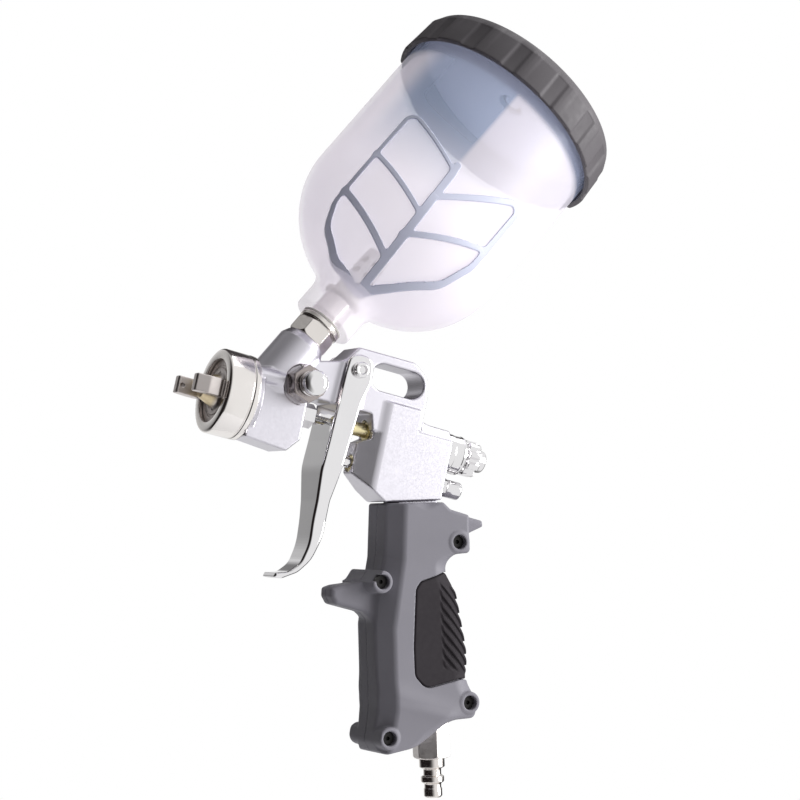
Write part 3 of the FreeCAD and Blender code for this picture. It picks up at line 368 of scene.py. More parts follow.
def place_on_piece(tree):
    """The point's place in the piece's own frame, in metres."""
    return add_node(tree, "ShaderNodeTexCoord").outputs["Object"]


def noise(tree, scale, detail=3):
    """Noise that is fixed to the piece; scale is in features per metre."""
    inputs = {"Vector": place_on_piece(tree), "Scale": scale, "Detail": detail}
    return add_node(tree, "ShaderNodeTexNoise", inputs).outputs["Fac"]


def mixed(tree, factor, first, second):
    """The first colour where factor is 0, and the second where it is 1."""
    mix = add_node(tree, "ShaderNodeMix", data_type="RGBA")
    for number, value in ((0, factor), (6, first), (7, second)):
        feed(tree, mix.inputs[number], value)
    return mix.outputs[2]


def rescaled(tree, value, start, end, low=0, high=1, kind="LINEAR"):
    """Goes from low to high as value goes from start to end, and stays level outside them."""
    inputs = {"Value": value, "From Min": start, "From Max": end, "To Min": low, "To Max": high}
    return add_node(tree, "ShaderNodeMapRange", inputs, interpolation_type=kind).outputs["Result"]


def reach_toward(tree, vector, direction):
    """How far a vector reaches in a direction."""
    inputs = {0: vector, 1: tuple(direction)}
    return add_node(tree, "ShaderNodeVectorMath", inputs, operation="DOT_PRODUCT").outputs["Value"]


def vary_colour(tree, shader, factor, first, second):
    feed(tree, shader.inputs["Base Color"], mixed(tree, factor, first, second))


def vary_roughness(tree, shader, factor, lowest, highest):
    roughness = rescaled(tree, factor, NOISE_LOW, NOISE_HIGH, lowest, highest)
    feed(tree, shader.inputs["Roughness"], roughness)


def add_bump(tree, shader, height, depth):
    """Bump of a real depth in metres."""
    bump = add_node(tree, "ShaderNodeBump", {"Height": height, "Distance": depth, "Strength": 1})
    feed(tree, shader.inputs["Normal"], bump.outputs["Normal"])


def metal(name, first, second, roughness, grain=900, depth=4e-6):
    """A metal whose tone drifts a little, with fine grain in its roughness and surface."""
    material, tree, shader = material_nodes(name)
    shader.inputs["Metallic"].default_value = 1
    vary_colour(tree, shader, noise(tree, METAL_PATCHES, 4), first, second)
    fine = noise(tree, grain)
    vary_roughness(tree, shader, fine, *roughness)
    add_bump(tree, shader, fine, depth)
    return material


def plastic(name, first, second, roughness, grain, depth, shine=0.5):
    """A moulded plastic with a grained skin, a little shinier in some places than in others."""
    material, tree, shader = material_nodes(name)
    shader.inputs["IOR"].default_value = 1.49
    shader.inputs["Specular IOR Level"].default_value = shine
    vary_colour(tree, shader, noise(tree, PLASTIC_PATCHES, 4), first, second)
    vary_roughness(tree, shader, noise(tree, grain / 4, 2), *roughness)
    add_bump(tree, shader, noise(tree, grain, 4), depth)
    return material


def cup_station(tree, axis, start, end):
    """Rises smoothly from 0 to 1 between two stations along an axis through the cup's origin."""
    reach = reach_toward(tree, place_on_piece(tree), axis)
    offset = float(np.dot(CUP_ORIGIN, axis))
    return rescaled(tree, reach, (start + offset) * MM, (end + offset) * MM, kind="SMOOTHSTEP")


def product(tree, *factors):
    result = factors[0]
    for factor in factors[1:]:
        times = add_node(tree, "ShaderNodeMath", {0: result, 1: factor}, operation="MULTIPLY")
        result = times.outputs[0]
    return result


def overlay(tree, shader, factor, colour):
    """Lays another colour over the base colour where factor is 1."""
    under = shader.inputs["Base Color"].links[0].from_socket
    vary_colour(tree, shader, factor, under, colour)


def milky(name, first, second, edge_alpha, face_alpha, roughness):
    """Thin milky plastic: more of it is in the way where the wall is seen edge on."""
    material, tree, shader = material_nodes(name)
    shader.inputs["IOR"].default_value = 1.45
    vary_colour(tree, shader, noise(tree, 30), first, second)
    fine = noise(tree, 260, 2)
    vary_roughness(tree, shader, fine, *roughness)
    add_bump(tree, shader, fine, 2e-6)
    facing = add_node(tree, "ShaderNodeLayerWeight", {"Blend": 0.3}).outputs["Facing"]
    feed(tree, shader.inputs["Alpha"], rescaled(tree, facing, 0, 1, face_alpha, edge_alpha))
    return material


def cup_plastic():
    """Milky white with a painted glow that stands in for light shining through the wall, a painted
    blue-grey shade from the lid on the upper front of the wall, and a painted shadow in a darker band
    under the lid."""
    material = milky("milky_plastic_painted_glow_and_shade", (0.92, 0.86, 0.91), (0.89, 0.86, 0.94), 0.50, 0.36, (0.3, 0.4))
    tree = material.node_tree
    shader = tree.nodes["Principled BSDF"]
    # Painted glow: emission in the wall's own colour stands in for light shining through it.
    shader.inputs["Emission Strength"].default_value = 0.28
    # Painted shade: the lid's blue-grey shade laid over the upper front of the wall.
    shade = product(tree,
                    cup_station(tree, CUP_AXIS, 98, 140),
                    cup_station(tree, -LATTICE_SIDEWAYS, -0.8, 1.6),
                    cup_station(tree, LATTICE_FACING, 22, 34))
    overlay(tree, shader, shade, (0.40, 0.47, 0.62))
    # Painted shadow: a darker band just under the lid's skirt.
    painted_under_lid_shadow = cup_station(tree, CUP_AXIS, 159, 162.5)
    overlay(tree, shader, painted_under_lid_shadow, (0.22, 0.25, 0.34))
    colour = shader.inputs["Base Color"].links[0].from_socket
    feed(tree, shader.inputs["Emission Color"], colour)
    return material


def cap_nickel_painted_reflection():
    """Dull nickel, with a painted warm reflection on the cone round the paint jet."""
    material = metal("cap_nickel_painted_reflection", (0.72, 0.67, 0.65), (0.62, 0.57, 0.55), (0.3, 0.44))
    tree = material.node_tree
    inputs = {0: place_on_piece(tree), 1: (0, 1, 1)}
    across = add_node(tree, "ShaderNodeVectorMath", inputs, operation="MULTIPLY")
    inputs = {0: across.outputs["Vector"]}
    radius = add_node(tree, "ShaderNodeVectorMath", inputs, operation="LENGTH").outputs["Value"]
    # Painted reflection: a warm brass tone laid on the cone round the paint jet.
    cone = rescaled(tree, radius, 7.2 * MM, 6.2 * MM)
    overlay(tree, tree.nodes["Principled BSDF"], cone, (0.86, 0.72, 0.48))
    return material


MATERIALS = {
    "die_cast": metal("cast_aluminium", (0.665, 0.648, 0.70), (0.62, 0.604, 0.655), (0.30, 0.40),
                      grain=1500, depth=5e-6),
    "nickel": metal("nickel_plate", (0.84, 0.80, 0.77), (0.76, 0.72, 0.69), (0.12, 0.24)),
    "chrome": metal("chrome_plate", (0.90, 0.89, 0.90), (0.82, 0.81, 0.82), (0.04, 0.09),
                    depth=1.5e-6),
    "steel": metal("turned_steel", (0.62, 0.61, 0.61), (0.50, 0.50, 0.51), (0.2, 0.36)),
    "brass": metal("turned_brass", (1, 0.90, 0.56), (0.95, 0.84, 0.48), (0.26, 0.4)),
    "cup_plastic": cup_plastic(),
    "lid_plastic": plastic("lid_moulding", (0.105, 0.097, 0.105), (0.15, 0.139, 0.15),
                           (0.50, 0.62), 1400, 2.5e-5, shine=0.35),
    "grip_plastic": plastic("grip_moulding", (0.25, 0.242, 0.274), (0.215, 0.208, 0.237),
                            (0.42, 0.54), 2200, 2.2e-5, shine=0.2),
    "grip_rubber": plastic("grip_rubber_skin", (0.036, 0.031, 0.036), (0.028, 0.024, 0.028),
                           (0.6, 0.75), 2600, 1.8e-5, shine=0.15),
    "seal": plastic("white_seal", (0.8, 0.79, 0.74), (0.7, 0.69, 0.65), (0.35, 0.5), 900, 8e-6),
    "black_screw": metal("blackened_steel", (0.035, 0.033, 0.033), (0.02, 0.02, 0.02), (0.3, 0.5)),
}
LATTICE_PLASTIC = milky("lattice_plastic", (0.66, 0.69, 0.84), (0.72, 0.75, 0.90), 0.9, 0.8,
                        (0.3, 0.4))
LINER_FOAM = plastic("liner_foam", (0.50, 0.55, 0.68), (0.56, 0.61, 0.74), (0.6, 0.7), 1500, 2e-5)
RING_NICKEL = metal("ring_nickel", (0.92, 0.89, 0.87), (0.86, 0.82, 0.79), (0.1, 0.2))
CAP_NICKEL_PAINTED_REFLECTION = cap_nickel_painted_reflection()
# A darker copy of nickel: painted shade for the dark flanks of the fan control's nut.
NICKEL_PAINTED_SHADE = metal("nickel_painted_shade", (0.46, 0.41, 0.40), (0.38, 0.34, 0.33), (0.12, 0.24))
SATIN_NICKEL = metal("satin_nickel", (0.90, 0.86, 0.84), (0.82, 0.78, 0.76), (0.36, 0.48))


def dress(piece, node, slot, body="gun_body", material=None):
    """Gives a piece its material, hangs it on the body it rides on, and hides the CAD node it stands
    for.
    """
    piece.data.materials.clear()
    piece.data.materials.append(material or MATERIALS[slot])
    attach(piece, body)
    if node:
        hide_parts(node)


def sculpt_node(name, node, field, step, slot, body="gun_body", material=None, margin=0):
    """Sculpts a piece in a CAD node's box, and dresses it to take the node's place."""
    low, high = low_high(node)
    dress(sculpt(name, field, low - margin, high + margin, step), node, slot, body, material)


def dress_frame():
    """Every CAD node that stays on show takes the made material of its own slot."""
    for node in frame["nodes"].values():
        for place in node.material_slots:
            place.material = MATERIALS[place.material.name.split(".")[0]]
    for name, material in (("lid_liner", LINER_FOAM), ("lid_vent", LINER_FOAM),
                           ("cup_strainer", MATERIALS["seal"])):
        frame["nodes"][name].material_slots[0].material = material


# ---------------- casting

def casting_field(x, y, z):
    depth = np.abs(y)

    def plate(corners, half_width, edge):
        return meet(polygon(x, z, corners), depth - half_width, edge)

    head = plate([(14.5, -16, 0.6), (33.4, -17.6, 1.2), (38.5, -11.8, 1.2), (38.3, 4, 1),
                  (38.3, 12, 0), (20, 14, 0), (14.5, 13, 0)], 9, 0.7)
    flange = rod(x, y, z, (7.6, 0, 0), X_AXIS, CAP_RADIUS, 9.4, 0.5)
    station, distance = along(x, y, z, CUP_ORIGIN, CUP_AXIS)
    narrowing = np.maximum(station - 30.5, 0) * 0.46 + np.maximum(10 - station, 0) * 0.6
    boss = meet(distance - 10.4 + narrowing, np.abs(station - 18) - 16, 0.5)
    bridge = plate([(26, 6.7, 0), (62, 6.7, 0), (62, 26, 0), (51.3, 25.1, 2),
                    (38.7, 21.9, 2), (30, 21.5, 0)], 8, 0.8)
    fin = plate([(50, 6.7, 0), (50.8, 24.6, 1), (56.7, 32.4, 1.5), (83.5, 32.5, 4.5),
                 (90.5, 27.5, 4.5), (92.2, 19, 3), (92.2, 0, 0), (70, 0, 0),
                 (68, 6.7, 1)], 8, 0.9)
    rear = plate([(70.8, 13.5, 0), (71, -3, 0), (66, -6, 1), (66, -19, 1.5),
                  (82, -27.8, 2), (107.5, -21, 1), (107.5, 9, 0.5), (96, 9.2, 8),
                  (90, 13.5, 0)], 9, 0.7)
    # The cheek slants inwards to the front, and the roof slants down to the sides.
    cheek = ((depth - 4) * 9.5 - (x - 66) * 5.05) / math.hypot(9.5, 5.05)
    roof = ((z - 4.2) * 6.05 + (depth - 9.05) * 5.4) / math.hypot(6.05, 5.4)
    rear = meet(meet(rear, cheek, 0.7), np.where(x > 90.5, roof, -9), 0.7)
    tang = plate([(88, -24, 0), (106, -19, 0), (110.5, -40, 0), (93.5, -40, 0)],
                 7.4, 0.5)
    passage = rod(x, y, z, (14.5, -8.6, 10.3), X_AXIS, 3.1, 11.5, 0.4)

    solid = join(join(head, flange, 0.6), boss, 1)
    solid = join(solid, join(bridge, fin, 2), 1)
    solid = join(join(solid, rear, 0.8), tang, 0.3)
    solid = join(solid, passage, 0.8)
    solid = carve(solid, rod(x, y, z, (FAN_X, -20, FAN_Z), -LEFT, 8.2, 11), 0.5)

    slot_front, slot_back, slot_height, slot_radius = 70.25, 83.6, 22.75, 5.75
    slot_reach = np.maximum(np.abs(x - (slot_front + slot_back) / 2) - (slot_back - slot_front) / 2, 0)
    solid = carve(solid, np.hypot(slot_reach, z - slot_height) - slot_radius, 0.7)
    for start, axis, radius, length in casting_bores():
        solid = carve(solid, rod(x, y, z, start, axis, radius, length), 0.35)
    return solid


def casting_bores():
    """The passages and seats that the inner pieces sit in: start, axis, radius and length."""
    along_the_gun = [
        (13.9, 0, 5, 15.1), (5, 0, 6.4, 9), (5, 0, 13.2, 7), (29, 0, 3.85, 10.5),
        (28, 0, 1.8, 4), (60, 0, 4.5, 39), (98.5, 0, 6.85, 10),
        (60, VALVE_Z, 3.2, 25), (64, VALVE_Z, 3.65, 8), (76, VALVE_Z, 4.05, 34),
    ]
    return [((x, 0, z), X_AXIS, radius, length) for x, z, radius, length in along_the_gun] + [
        (INLET_ORIGIN + INLET_AXIS * 2, INLET_AXIS, 5.05, 31),
        ((FAN_X, -20, FAN_Z), -LEFT, 4.25, 23),
        (CUP_ORIGIN + CUP_AXIS * 22, CUP_AXIS, 6.05, 15),
        (CUP_ORIGIN + CUP_AXIS, CUP_AXIS, 3, 22),
        ((PIVOT_X, -12, PIVOT_Z), -LEFT, 2.55, 24),
    ]


def make_casting():
    sculpt_node("casting", "body_casting", casting_field, 0.45, "die_cast")


# ---------------- air cap end

def air_cap_field(x, y, z):
    radius = np.hypot(y, z)
    disc = meet(radius - CAP_RADIUS, np.abs(x - 3) - 1.3, 0.3)
    tube = meet(radius - CAP_RADIUS + 1.6, np.abs(x - 6) - 3.2, 0.2)
    tube = carve(tube, meet(radius - 11.2, 4.9 - x))
    cone = meet((radius - 4.2 - (x + 5.4) * 0.447) * 0.91, np.abs(x + 1.6) - 3.8, 0.5)
    solid = join(join(disc, tube), cone, 1.2)
    side = np.abs(y)
    horn = polygon(side, x, [
        (8, 3.5, 0), (12.2, 3.5, 0), (12.2, -0.8, 0), (14, -2.2, 1.2),
        (14, -0.55 * HORN_REACH, 2.6), (12.2, -HORN_REACH, 1), (8, -HORN_REACH, 1)])
    horn = meet(horn, np.abs(z) - 3.6, 0.5)
    solid = join(solid, horn, 0.5)
    for mirror in (-1, 1):
        start = np.array([-HORN_REACH + 3.4, mirror * 10.6, 0])
        aim = np.array([-0.45, -mirror, 0]) / math.hypot(0.45, 1)
        solid = carve(solid, rod(x, y, z, start, aim, 0.8, 6), 0.2)
    ring_jets = meet(np.hypot(side - 6.3, z) - 0.55, np.abs(x) - 8)
    solid = carve(carve(solid, ring_jets, 0.15), np.hypot(y, np.abs(z) - 7.6) - 0.6, 0.15)
    recess = meet(np.abs(radius - 10.4) - 0.5, np.abs(x - 1.7) - 0.35)
    solid = carve(solid, recess, 0.15)
    solid = carve(solid, meet(radius - 1.9, x - 2.4), 0.3)
    return carve(solid, meet((radius - 2 - (x - 0.4)) * 0.71, -x + 0.4), 0.2)


def make_air_cap():
    sculpt_node("air_cap_horned", "air_cap", air_cap_field, 0.24, "nickel", "air_cap", CAP_NICKEL_PAINTED_REFLECTION)


def make_ring():
    """The retaining ring, with half-round flutes that stop short of both ends."""
    flutes, flute_depth, flute_half = 18, 0.85, math.radians(6.2)
    seat = CAP_RADIUS + 0.6
    waist = RING_RADIUS - 0.35

    def radius_at(angle, station, radius):
        depth = flute_depth * flute(angle, flutes, flute_half)
        window = ramp(station, 1.6, 2.4) * (1 - ramp(station, 8.8, 9.8))
        outer = radius > RING_RADIUS - 1.2
        return radius - np.where(outer, depth * window, 0)

    ring = lathe("retaining_ring", (0, 0, 0), X_AXIS, [
        (0, 13.4, 0.25), (0, RING_RADIUS, 1.3), (10.6, RING_RADIUS, 0.3), (10.9, waist, 0.2),
        (11.3, waist, 0.2), (11.6, RING_RADIUS, 0.3), (RING_LENGTH, RING_RADIUS, 0.7),
        (RING_LENGTH, seat, 0.2), (1.5, seat, 0), (1.5, 13.4, 0.25),
    ], radius_at, steps=flutes * 20, slices=0.5)
    dress(ring, "air_cap_ring", "nickel", "air_cap_ring", RING_NICKEL)


def make_nozzle():
    nozzle = lathe("nozzle_tip", (-4.6, 0, 0), X_AXIS, [
        (0, 0.75, 0.1), (0, 1.5, 0.25), (4.5, 1.5, 0.6), (8.6, 4.2, 0.6), (13.8, 4.2, 0.2),
        (13.8, 6.3, 0.2), (17.4, 6.3, 0.2), (17.4, 5, 0), (30.6, 5, 0.3), (30.6, 2.6, 0),
        (9.6, 2.6, 0.4), (4.6, 1.45, 0.4)])
    dress(nozzle, "fluid_nozzle", "steel")


# ---------------- fan control

def make_fan_control():
    centre = np.array([FAN_X, 0, FAN_Z])
    square_up = np.array([math.sin(math.radians(18)), 0, math.cos(math.radians(18))])

    def gland_field(x, y, z):
        nut = hexagon_rod(x, y, z, centre + LEFT * 9, LEFT, square_up, 13.7, 8.2, 0.35)
        station, distance = along(x, y, z, centre, LEFT)
        crown = (distance - 9 + np.maximum(station - 16, 0) * 1.7) * 0.6
        nut = meet(meet(nut, crown, 0.3), station - 17.4, 0.2)
        thread = meet(distance - 4.2, np.abs(station - 5.3) - 3.8)
        solid = join(nut, thread)
        groove = meet(np.abs(station - 11.9) - 0.45, 6.9 - distance)
        solid = carve(solid, groove, 0.15)
        return carve(solid, distance - 2.66, 0.1)

    gland = sculpt("fan_nut", gland_field, (FAN_X - 9, -18, FAN_Z - 9),
                   (FAN_X + 9, -1, FAN_Z + 9), 0.26)
    # The nut takes the darker nickel, painted shade for its dark flanks.
    dress(gland, "fan_gland", "chrome", material=NICKEL_PAINTED_SHADE)

    knob = lathe("fan_button", centre, LEFT, [
        (18, 0, 0), (18, 4.9, 0.2), (18.4, 5.2, 0.2), (19.2, 5.2, 0.15), (19.5, 4.8, 0.15),
        (20, 4.8, 0.15), (20.3, 5.2, 0.15), (24.2, 5.2, 0.9), (25.3, 3.2, 2.4), (25.3, 0, 0)])
    dress(knob, "fan_knob", "chrome", "fan_knob")


# ---------------- rear controls

def make_rear_controls():
    knob_radius = KNOB_HIGH[1]
    lobes, lobe_depth = 9, 1.5

    def knob_grip(angle, station, radius):
        depth = lobe_depth * flute(angle, lobes, math.radians(11))
        return radius - np.where(radius > knob_radius - 2.2, depth, 0)

    knob = lathe("fluid_knob_lobed", (KNOB_LOW[0], 0, 0), X_AXIS, [
        (0, 3, 0.2), (0, 4.44, 0.2), (5.2, 4.44, 0), (5.2, 6.4, 0.3), (6, knob_radius, 0.5),
        (11.4, knob_radius, 0.8), (11.4, 5.2, 0.5), (15, 4.6, 1), (15.8, 3, 1.2),
        (15.8, 0, 0), (10.6, 0, 0), (10.6, 3, 0.2)], knob_grip, steps=lobes * 24, slices=0.8)
    dress(knob, "fluid_knob", "chrome", "fluid_knob")

    def thread(angle, station, radius):
        ridge = 0.22 * np.cos(2 * math.pi * station / 1.25 + angle)
        threaded = (radius > 8) & (station > 12.2) & (station < 15.4)
        return radius + np.where(threaded, ridge - 0.35, 0)

    housing = lathe("rear_sleeve", (98.5, 0, 0), X_AXIS, [
        (0, 4.5, 0.2), (0, 6.8, 0.2), (9.1, 6.8, 0), (9.1, 8.4, 0.3), (11.6, 8.4, 0.3),
        (12, 8.2, 0.2), (15.6, 8.2, 0.2), (16, 8.4, 0.2), (17.4, 8.1, 0.6),
        (17.4, 4.5, 0.3)], thread, slices=0.3)
    dress(housing, "needle_housing", "chrome")

    def screw_grip(angle, station, radius):
        knurl = 0.16 * np.cos(22 * angle)
        gripped = (radius > 3.5) & (station > 11.4) & (station < 16.6)
        return radius + np.where(gripped, knurl - 0.16, 0)

    screw = lathe("air_screw_knurled", (101, 0, VALVE_Z), X_AXIS, [
        (0, 0, 0), (0, 0.8, 0.2), (1, 2.6, 0.3), (4, 2.6, 0), (4, 1.7, 0), (5.6, 1.7, 0),
        (5.6, 2.6, 0), (10.8, 2.6, 0), (10.8, 3.8, 0.3), (17.6, 3.8, 0.7), (18.4, 2.6, 0.5),
        (18.4, 1.4, 0.1), (17.5, 1.2, 0.1), (17.5, 0, 0)], screw_grip, slices=0.5)
    dress(screw, "air_screw", "chrome", "air_screw")


# ---------------- springs

SPRING_WIRES = {"needle_spring": (0.9, 10), "valve_spring": (0.7, 7)}   # wire thickness and turns


def make_spring(node):
    """A coil spring that fills its CAD node's box."""
    turn_steps, wire_steps = 36, 12
    low, high = low_high(node)
    middle = (low[2] + high[2]) / 2
    wire, turns = SPRING_WIRES[node]
    rings = turns * turn_steps + 1
    share = np.linspace(0, 1, rings)[:, None]
    angle = 2 * math.pi * turns * share
    station = low[0] + wire / 2 + (high[0] - low[0] - wire) * share
    section = np.linspace(0, 2 * math.pi, wire_steps, endpoint=False)[None, :]
    radius = (high[1] - low[1] - wire) / 2 + wire / 2 * np.sin(section)
    places = np.stack([station + wire / 2 * np.cos(section), radius * np.cos(angle),
                       middle + radius * np.sin(angle)], axis=2)
    faces = band_faces([(ring, ring + 1) for ring in range(rings - 1)], wire_steps)
    faces += [range(wire_steps), range((rings - 1) * wire_steps, rings * wire_steps)]
    coil = new_piece(f"{node}_coil", places.reshape(-1, 3), faces)
    dress(coil, node, "steel")
    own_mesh(coil)


def make_springs():
    for joint in frame["joints"]:
        for spring in joint.get("deforming_nodes", []):
            make_spring(spring["node"])


# ---------------- trigger

def mirrored(half):
    """A whole outline from its half on one side of the middle."""
    return half + [(-a, b, radius) for a, b, radius in reversed(half)]


TRIGGER_SIDE = [
    (51.4, 20, 3), (52.2, 29, 5), (63.4, 29.2, 5), (64, 18, 4), (61.6, 10, 20),
    (60, -8, 30), (58.6, -24, 20), (57.6, -33, 12), (58.6, -47, 30),
    (55.6, -58.4, 14), (51, -64.4, 8), (44.5, -68.4, 4), (40.8, -68.6, 0.5),
    (41.4, -66.6, 0.5), (46.6, -65.2, 5), (51, -60.6, 9), (52.9, -52, 25),
    (51.6, -34, 30), (49.8, -21, 22), (50.4, -9, 20),
]
TRIGGER_FRONT = mirrored([
    (11.2, 34, 0), (11.2, -18, 30), (7.4, -42, 30), (7.4, -52, 20), (6.2, -72, 0)])
TRIGGER_BEHIND = [
    (53.4, 2, 0), (53.4, -9, 20), (52.4, -21, 20), (53.8, -34, 20), (56.6, -44, 0),
    (70, -44, 0), (70, 2, 0),
]
TRIGGER_INSIDE = mirrored([(9.4, 42, 0), (9.4, -18, 30), (5.4, -44, 2)])
TRIGGER_ABOVE = [
    (40, -1.4, 0), (56, -1.4, 0), (56, -8, 0), (80, -8, 0), (80, 40, 0),
    (40, 40, 0),
]


def trigger_field(x, y, z):
    blade = meet(polygon(x, z, TRIGGER_SIDE), polygon(y, z, TRIGGER_FRONT), 1.1)
    gap = join(polygon(x, z, TRIGGER_ABOVE), polygon(x, z, TRIGGER_BEHIND), 0.8)
    hollow = meet(gap, polygon(y, z, TRIGGER_INSIDE), 0.8)
    blade = carve(blade, hollow, 0.55)
    blade = carve(blade, np.hypot(x - PIVOT_X, z - PIVOT_Z) - 2.56, 0.3)
    return carve(blade, meet(np.hypot(y, z) - 2.2, x - 56), 0.3)


def make_pivot_half(name, node, axis, inner, shank, head):
    """A shank from its inner end outwards, and a domed head with a dimple, across the trigger."""
    half = lathe(name, (PIVOT_X, 0, PIVOT_Z), axis, [
        (inner, 0, 0), (inner, shank, 0.2), (11.5, shank, 0), (11.5, 3.4, 0.25), (head, 3.4, 0.9),
        (head, 1.9, 0.3), (head - 0.7, 1.6, 0.2), (head - 0.7, 0, 0)])
    dress(half, node, "chrome")


def make_trigger():
    sculpt_node("trigger_blade", "trigger", trigger_field, 0.33, "chrome", "trigger")
    make_pivot_half("pivot_head", "pivot_pin", LEFT, -11.4, 2.5, 13.9)
    make_pivot_half("pivot_cap", "pivot_screw", -LEFT, 1, 1.35, 14)


# ---------------- cup and lid

NIPPLE_TOP = 45.4
DOME_TOP, DOME_RADIUS, DOME_DEPTH = 102, 46.7, 41.7
CUP_RIM, CUP_RADIUS, CUP_WALL = 178.3, 47.4, 1.8
BELOW_RIM, BELOW_RIM_RADIUS = 150, 47.2    # a ring of points part of the way down the wall
COLLAR_RADIUS, NECK_RADIUS = 13.3, 11.4
LID_START, LID_END, LID_RADIUS = 165.3, 183.9, 50.7


def cup_radius_at(station):
    """The cup's outer radius along its axis, above the neck."""
    dome = DOME_RADIUS * np.sqrt(np.maximum(1 - ((DOME_TOP - station) / DOME_DEPTH) ** 2, 0))
    wall = DOME_RADIUS + (CUP_RADIUS - DOME_RADIUS) * (station - DOME_TOP) / (CUP_RIM - DOME_TOP)
    return np.where(station < DOME_TOP, dome, wall)


def cup_section(inset, neck):
    """The cup's wall from the neck to the rim: (station, radius) points."""
    points = []
    meet_angle = math.radians(63)
    axial, radial = DOME_DEPTH - inset, DOME_RADIUS - inset
    join_s = DOME_TOP - axial * math.sin(meet_angle)
    join_r = radial * math.cos(meet_angle)
    control = (join_s - (join_r - neck) / 2.2, neck)
    start = (control[0] - 6.5, neck)
    for share in np.linspace(0, 1, 9)[:-1]:
        points.append(tuple(
            (1 - share) ** 2 * a + 2 * share * (1 - share) * b + share ** 2 * c
            for a, b, c in zip(start, control, (join_s, join_r))))
    for share in np.linspace(0, 1, 33):
        angle = meet_angle * (1 - share)
        points.append((DOME_TOP - axial * math.sin(angle), radial * math.cos(angle)))
    return points


def make_cup():
    outer = cup_section(0, COLLAR_RADIUS)
    inner = cup_section(CUP_WALL, NECK_RADIUS)
    corners = [(NIPPLE_TOP, 7.3, 0.2), (NIPPLE_TOP, COLLAR_RADIUS, 0.8), (52, COLLAR_RADIUS, 0.2)]
    corners += [(s, r, 0) for s, r in outer if s > 52.4]
    corners += [(BELOW_RIM, BELOW_RIM_RADIUS, 0), (CUP_RIM, CUP_RADIUS, 0.5)]
    corners += [(CUP_RIM, CUP_RADIUS - CUP_WALL, 0.5), (BELOW_RIM, BELOW_RIM_RADIUS - CUP_WALL, 0)]
    corners += [(s, r, 0) for s, r in reversed(inner) if s > 58.5]
    corners += [(58.4, NECK_RADIUS, 0.4), (58.4, 7.3, 0.3)]
    cup = lathe("cup_shell", CUP_ORIGIN, CUP_AXIS, corners, slices=3)
    dress(cup, "cup", "cup_plastic", "cup")


# The lattice lies on the cup's wall: two leaves as corners (station, across, rounding), and
# straight ribs from one end to the other, with half their width.
LATTICE_LEFT = [
    (61, 3, 1), (64, -13, 14), (71, -24.5, 12), (79, -28.5, 8), (127.5, -28.5, 3),
    (115, 0.8, 2),
]
LATTICE_RIGHT = [
    (61, 3, 1), (67.5, 12, 8), (80, 26.5, 14), (94, 31.5, 14), (130, 31.5, 3),
    (101, 0.8, 2),
]
LATTICE_RIBS = [
    ((61, 3), (118, 0), 1.6), ((73, 0.8), (84, -28.5), 1.05),
    ((92, 0.8), (103, -28.5), 1.05), ((82, 0.8), (103, 31.5), 1.15),
]
LATTICE_LINES = (0.85, 1.3)    # half the width of each leaf's outline
LATTICE_FILLET = 1.2
LATTICE_HALF = 0.55    # half its thickness
LATTICE_NEAR = 3       # its plan is worked out only this near to the cup's surface
LATTICE_FRONT = 8      # it lies only on the side of the cup that is this far out, or more


def lattice_plan(station, across):
    """Distance in the unrolled plane from the lattice's lines."""
    left, right = (np.abs(polygon(station, across, leaf)) - half_width
                   for leaf, half_width in zip((LATTICE_LEFT, LATTICE_RIGHT), LATTICE_LINES))
    lines = np.minimum(left, right)
    for start, end, half_width in LATTICE_RIBS:
        rib = np.sqrt(line_gap(station, across, start, end)) - half_width
        lines = join(lines, rib, LATTICE_FILLET)
    return lines


def lattice_field(x, y, z):
    station, distance = along(x, y, z, CUP_ORIGIN, CUP_AXIS)
    across, _ = along(x, y, z, CUP_ORIGIN, LATTICE_SIDEWAYS)
    front, _ = along(x, y, z, CUP_ORIGIN, LATTICE_FACING)
    dome = np.hypot((DOME_TOP - station) / DOME_DEPTH, distance / DOME_RADIUS)
    gap = np.where(station < DOME_TOP, (dome - 1) * DOME_DEPTH, distance - cup_radius_at(station))
    near = np.abs(gap) < LATTICE_NEAR
    lines = np.full(gap.shape, LATTICE_NEAR, float)
    lines[near] = lattice_plan(station[near], across[near])
    return meet(meet(np.abs(gap) - LATTICE_HALF, lines, 0.25), LATTICE_FRONT - front)


def make_lattice():
    low, high = low_high("cup")
    lattice = sculpt("cup_lattice", lattice_field, (low[0], low[1], low[2] + 10),
                     (high[0], 0, high[2]), 0.42)
    dress(lattice, None, "cup_plastic", "cup", LATTICE_PLASTIC)


def make_lid():
    groups = 15
    recess_at = math.radians(98)

    def radius_at(angle, station, radius):
        offset = from_nearest(recess_at - angle, groups)
        recess = ramp(math.radians(4.6) - np.abs(offset), 0, math.radians(1.6))
        lug = ramp(math.radians(2.4) - np.abs(offset + math.radians(7.6)), 0, math.radians(1.2))
        window = 1 - ramp(station, 177.6, 180.2)
        lug_window = ramp(station, 168, 169.2) * (1 - ramp(station, 179, 181.5))
        change = -0.9 * recess * window - 0.3 * (1 - lug) * lug_window
        return radius + np.where(radius > LID_RADIUS - 1.5, change, 0)

    lid = lathe("lid_cap", CUP_ORIGIN, CUP_AXIS, [
        (LID_START, 48.3, 0.3), (LID_START, LID_RADIUS, 0.7), (179, LID_RADIUS - 0.7, 2),
        (183, 47.9, 2.6), (LID_END, 44, 1.5), (LID_END, 30, 0.4), (183.1, 29.2, 0.4),
        (183.1, 8.4, 0.5), (LID_END, 7.6, 0.5), (LID_END, 4, 0.3), (181.1, 4, 0.2),
        (181.1, 48.3, 0.4)], radius_at, steps=groups * 36, slices=0.7)
    dress(lid, "lid", "lid_plastic", "lid")


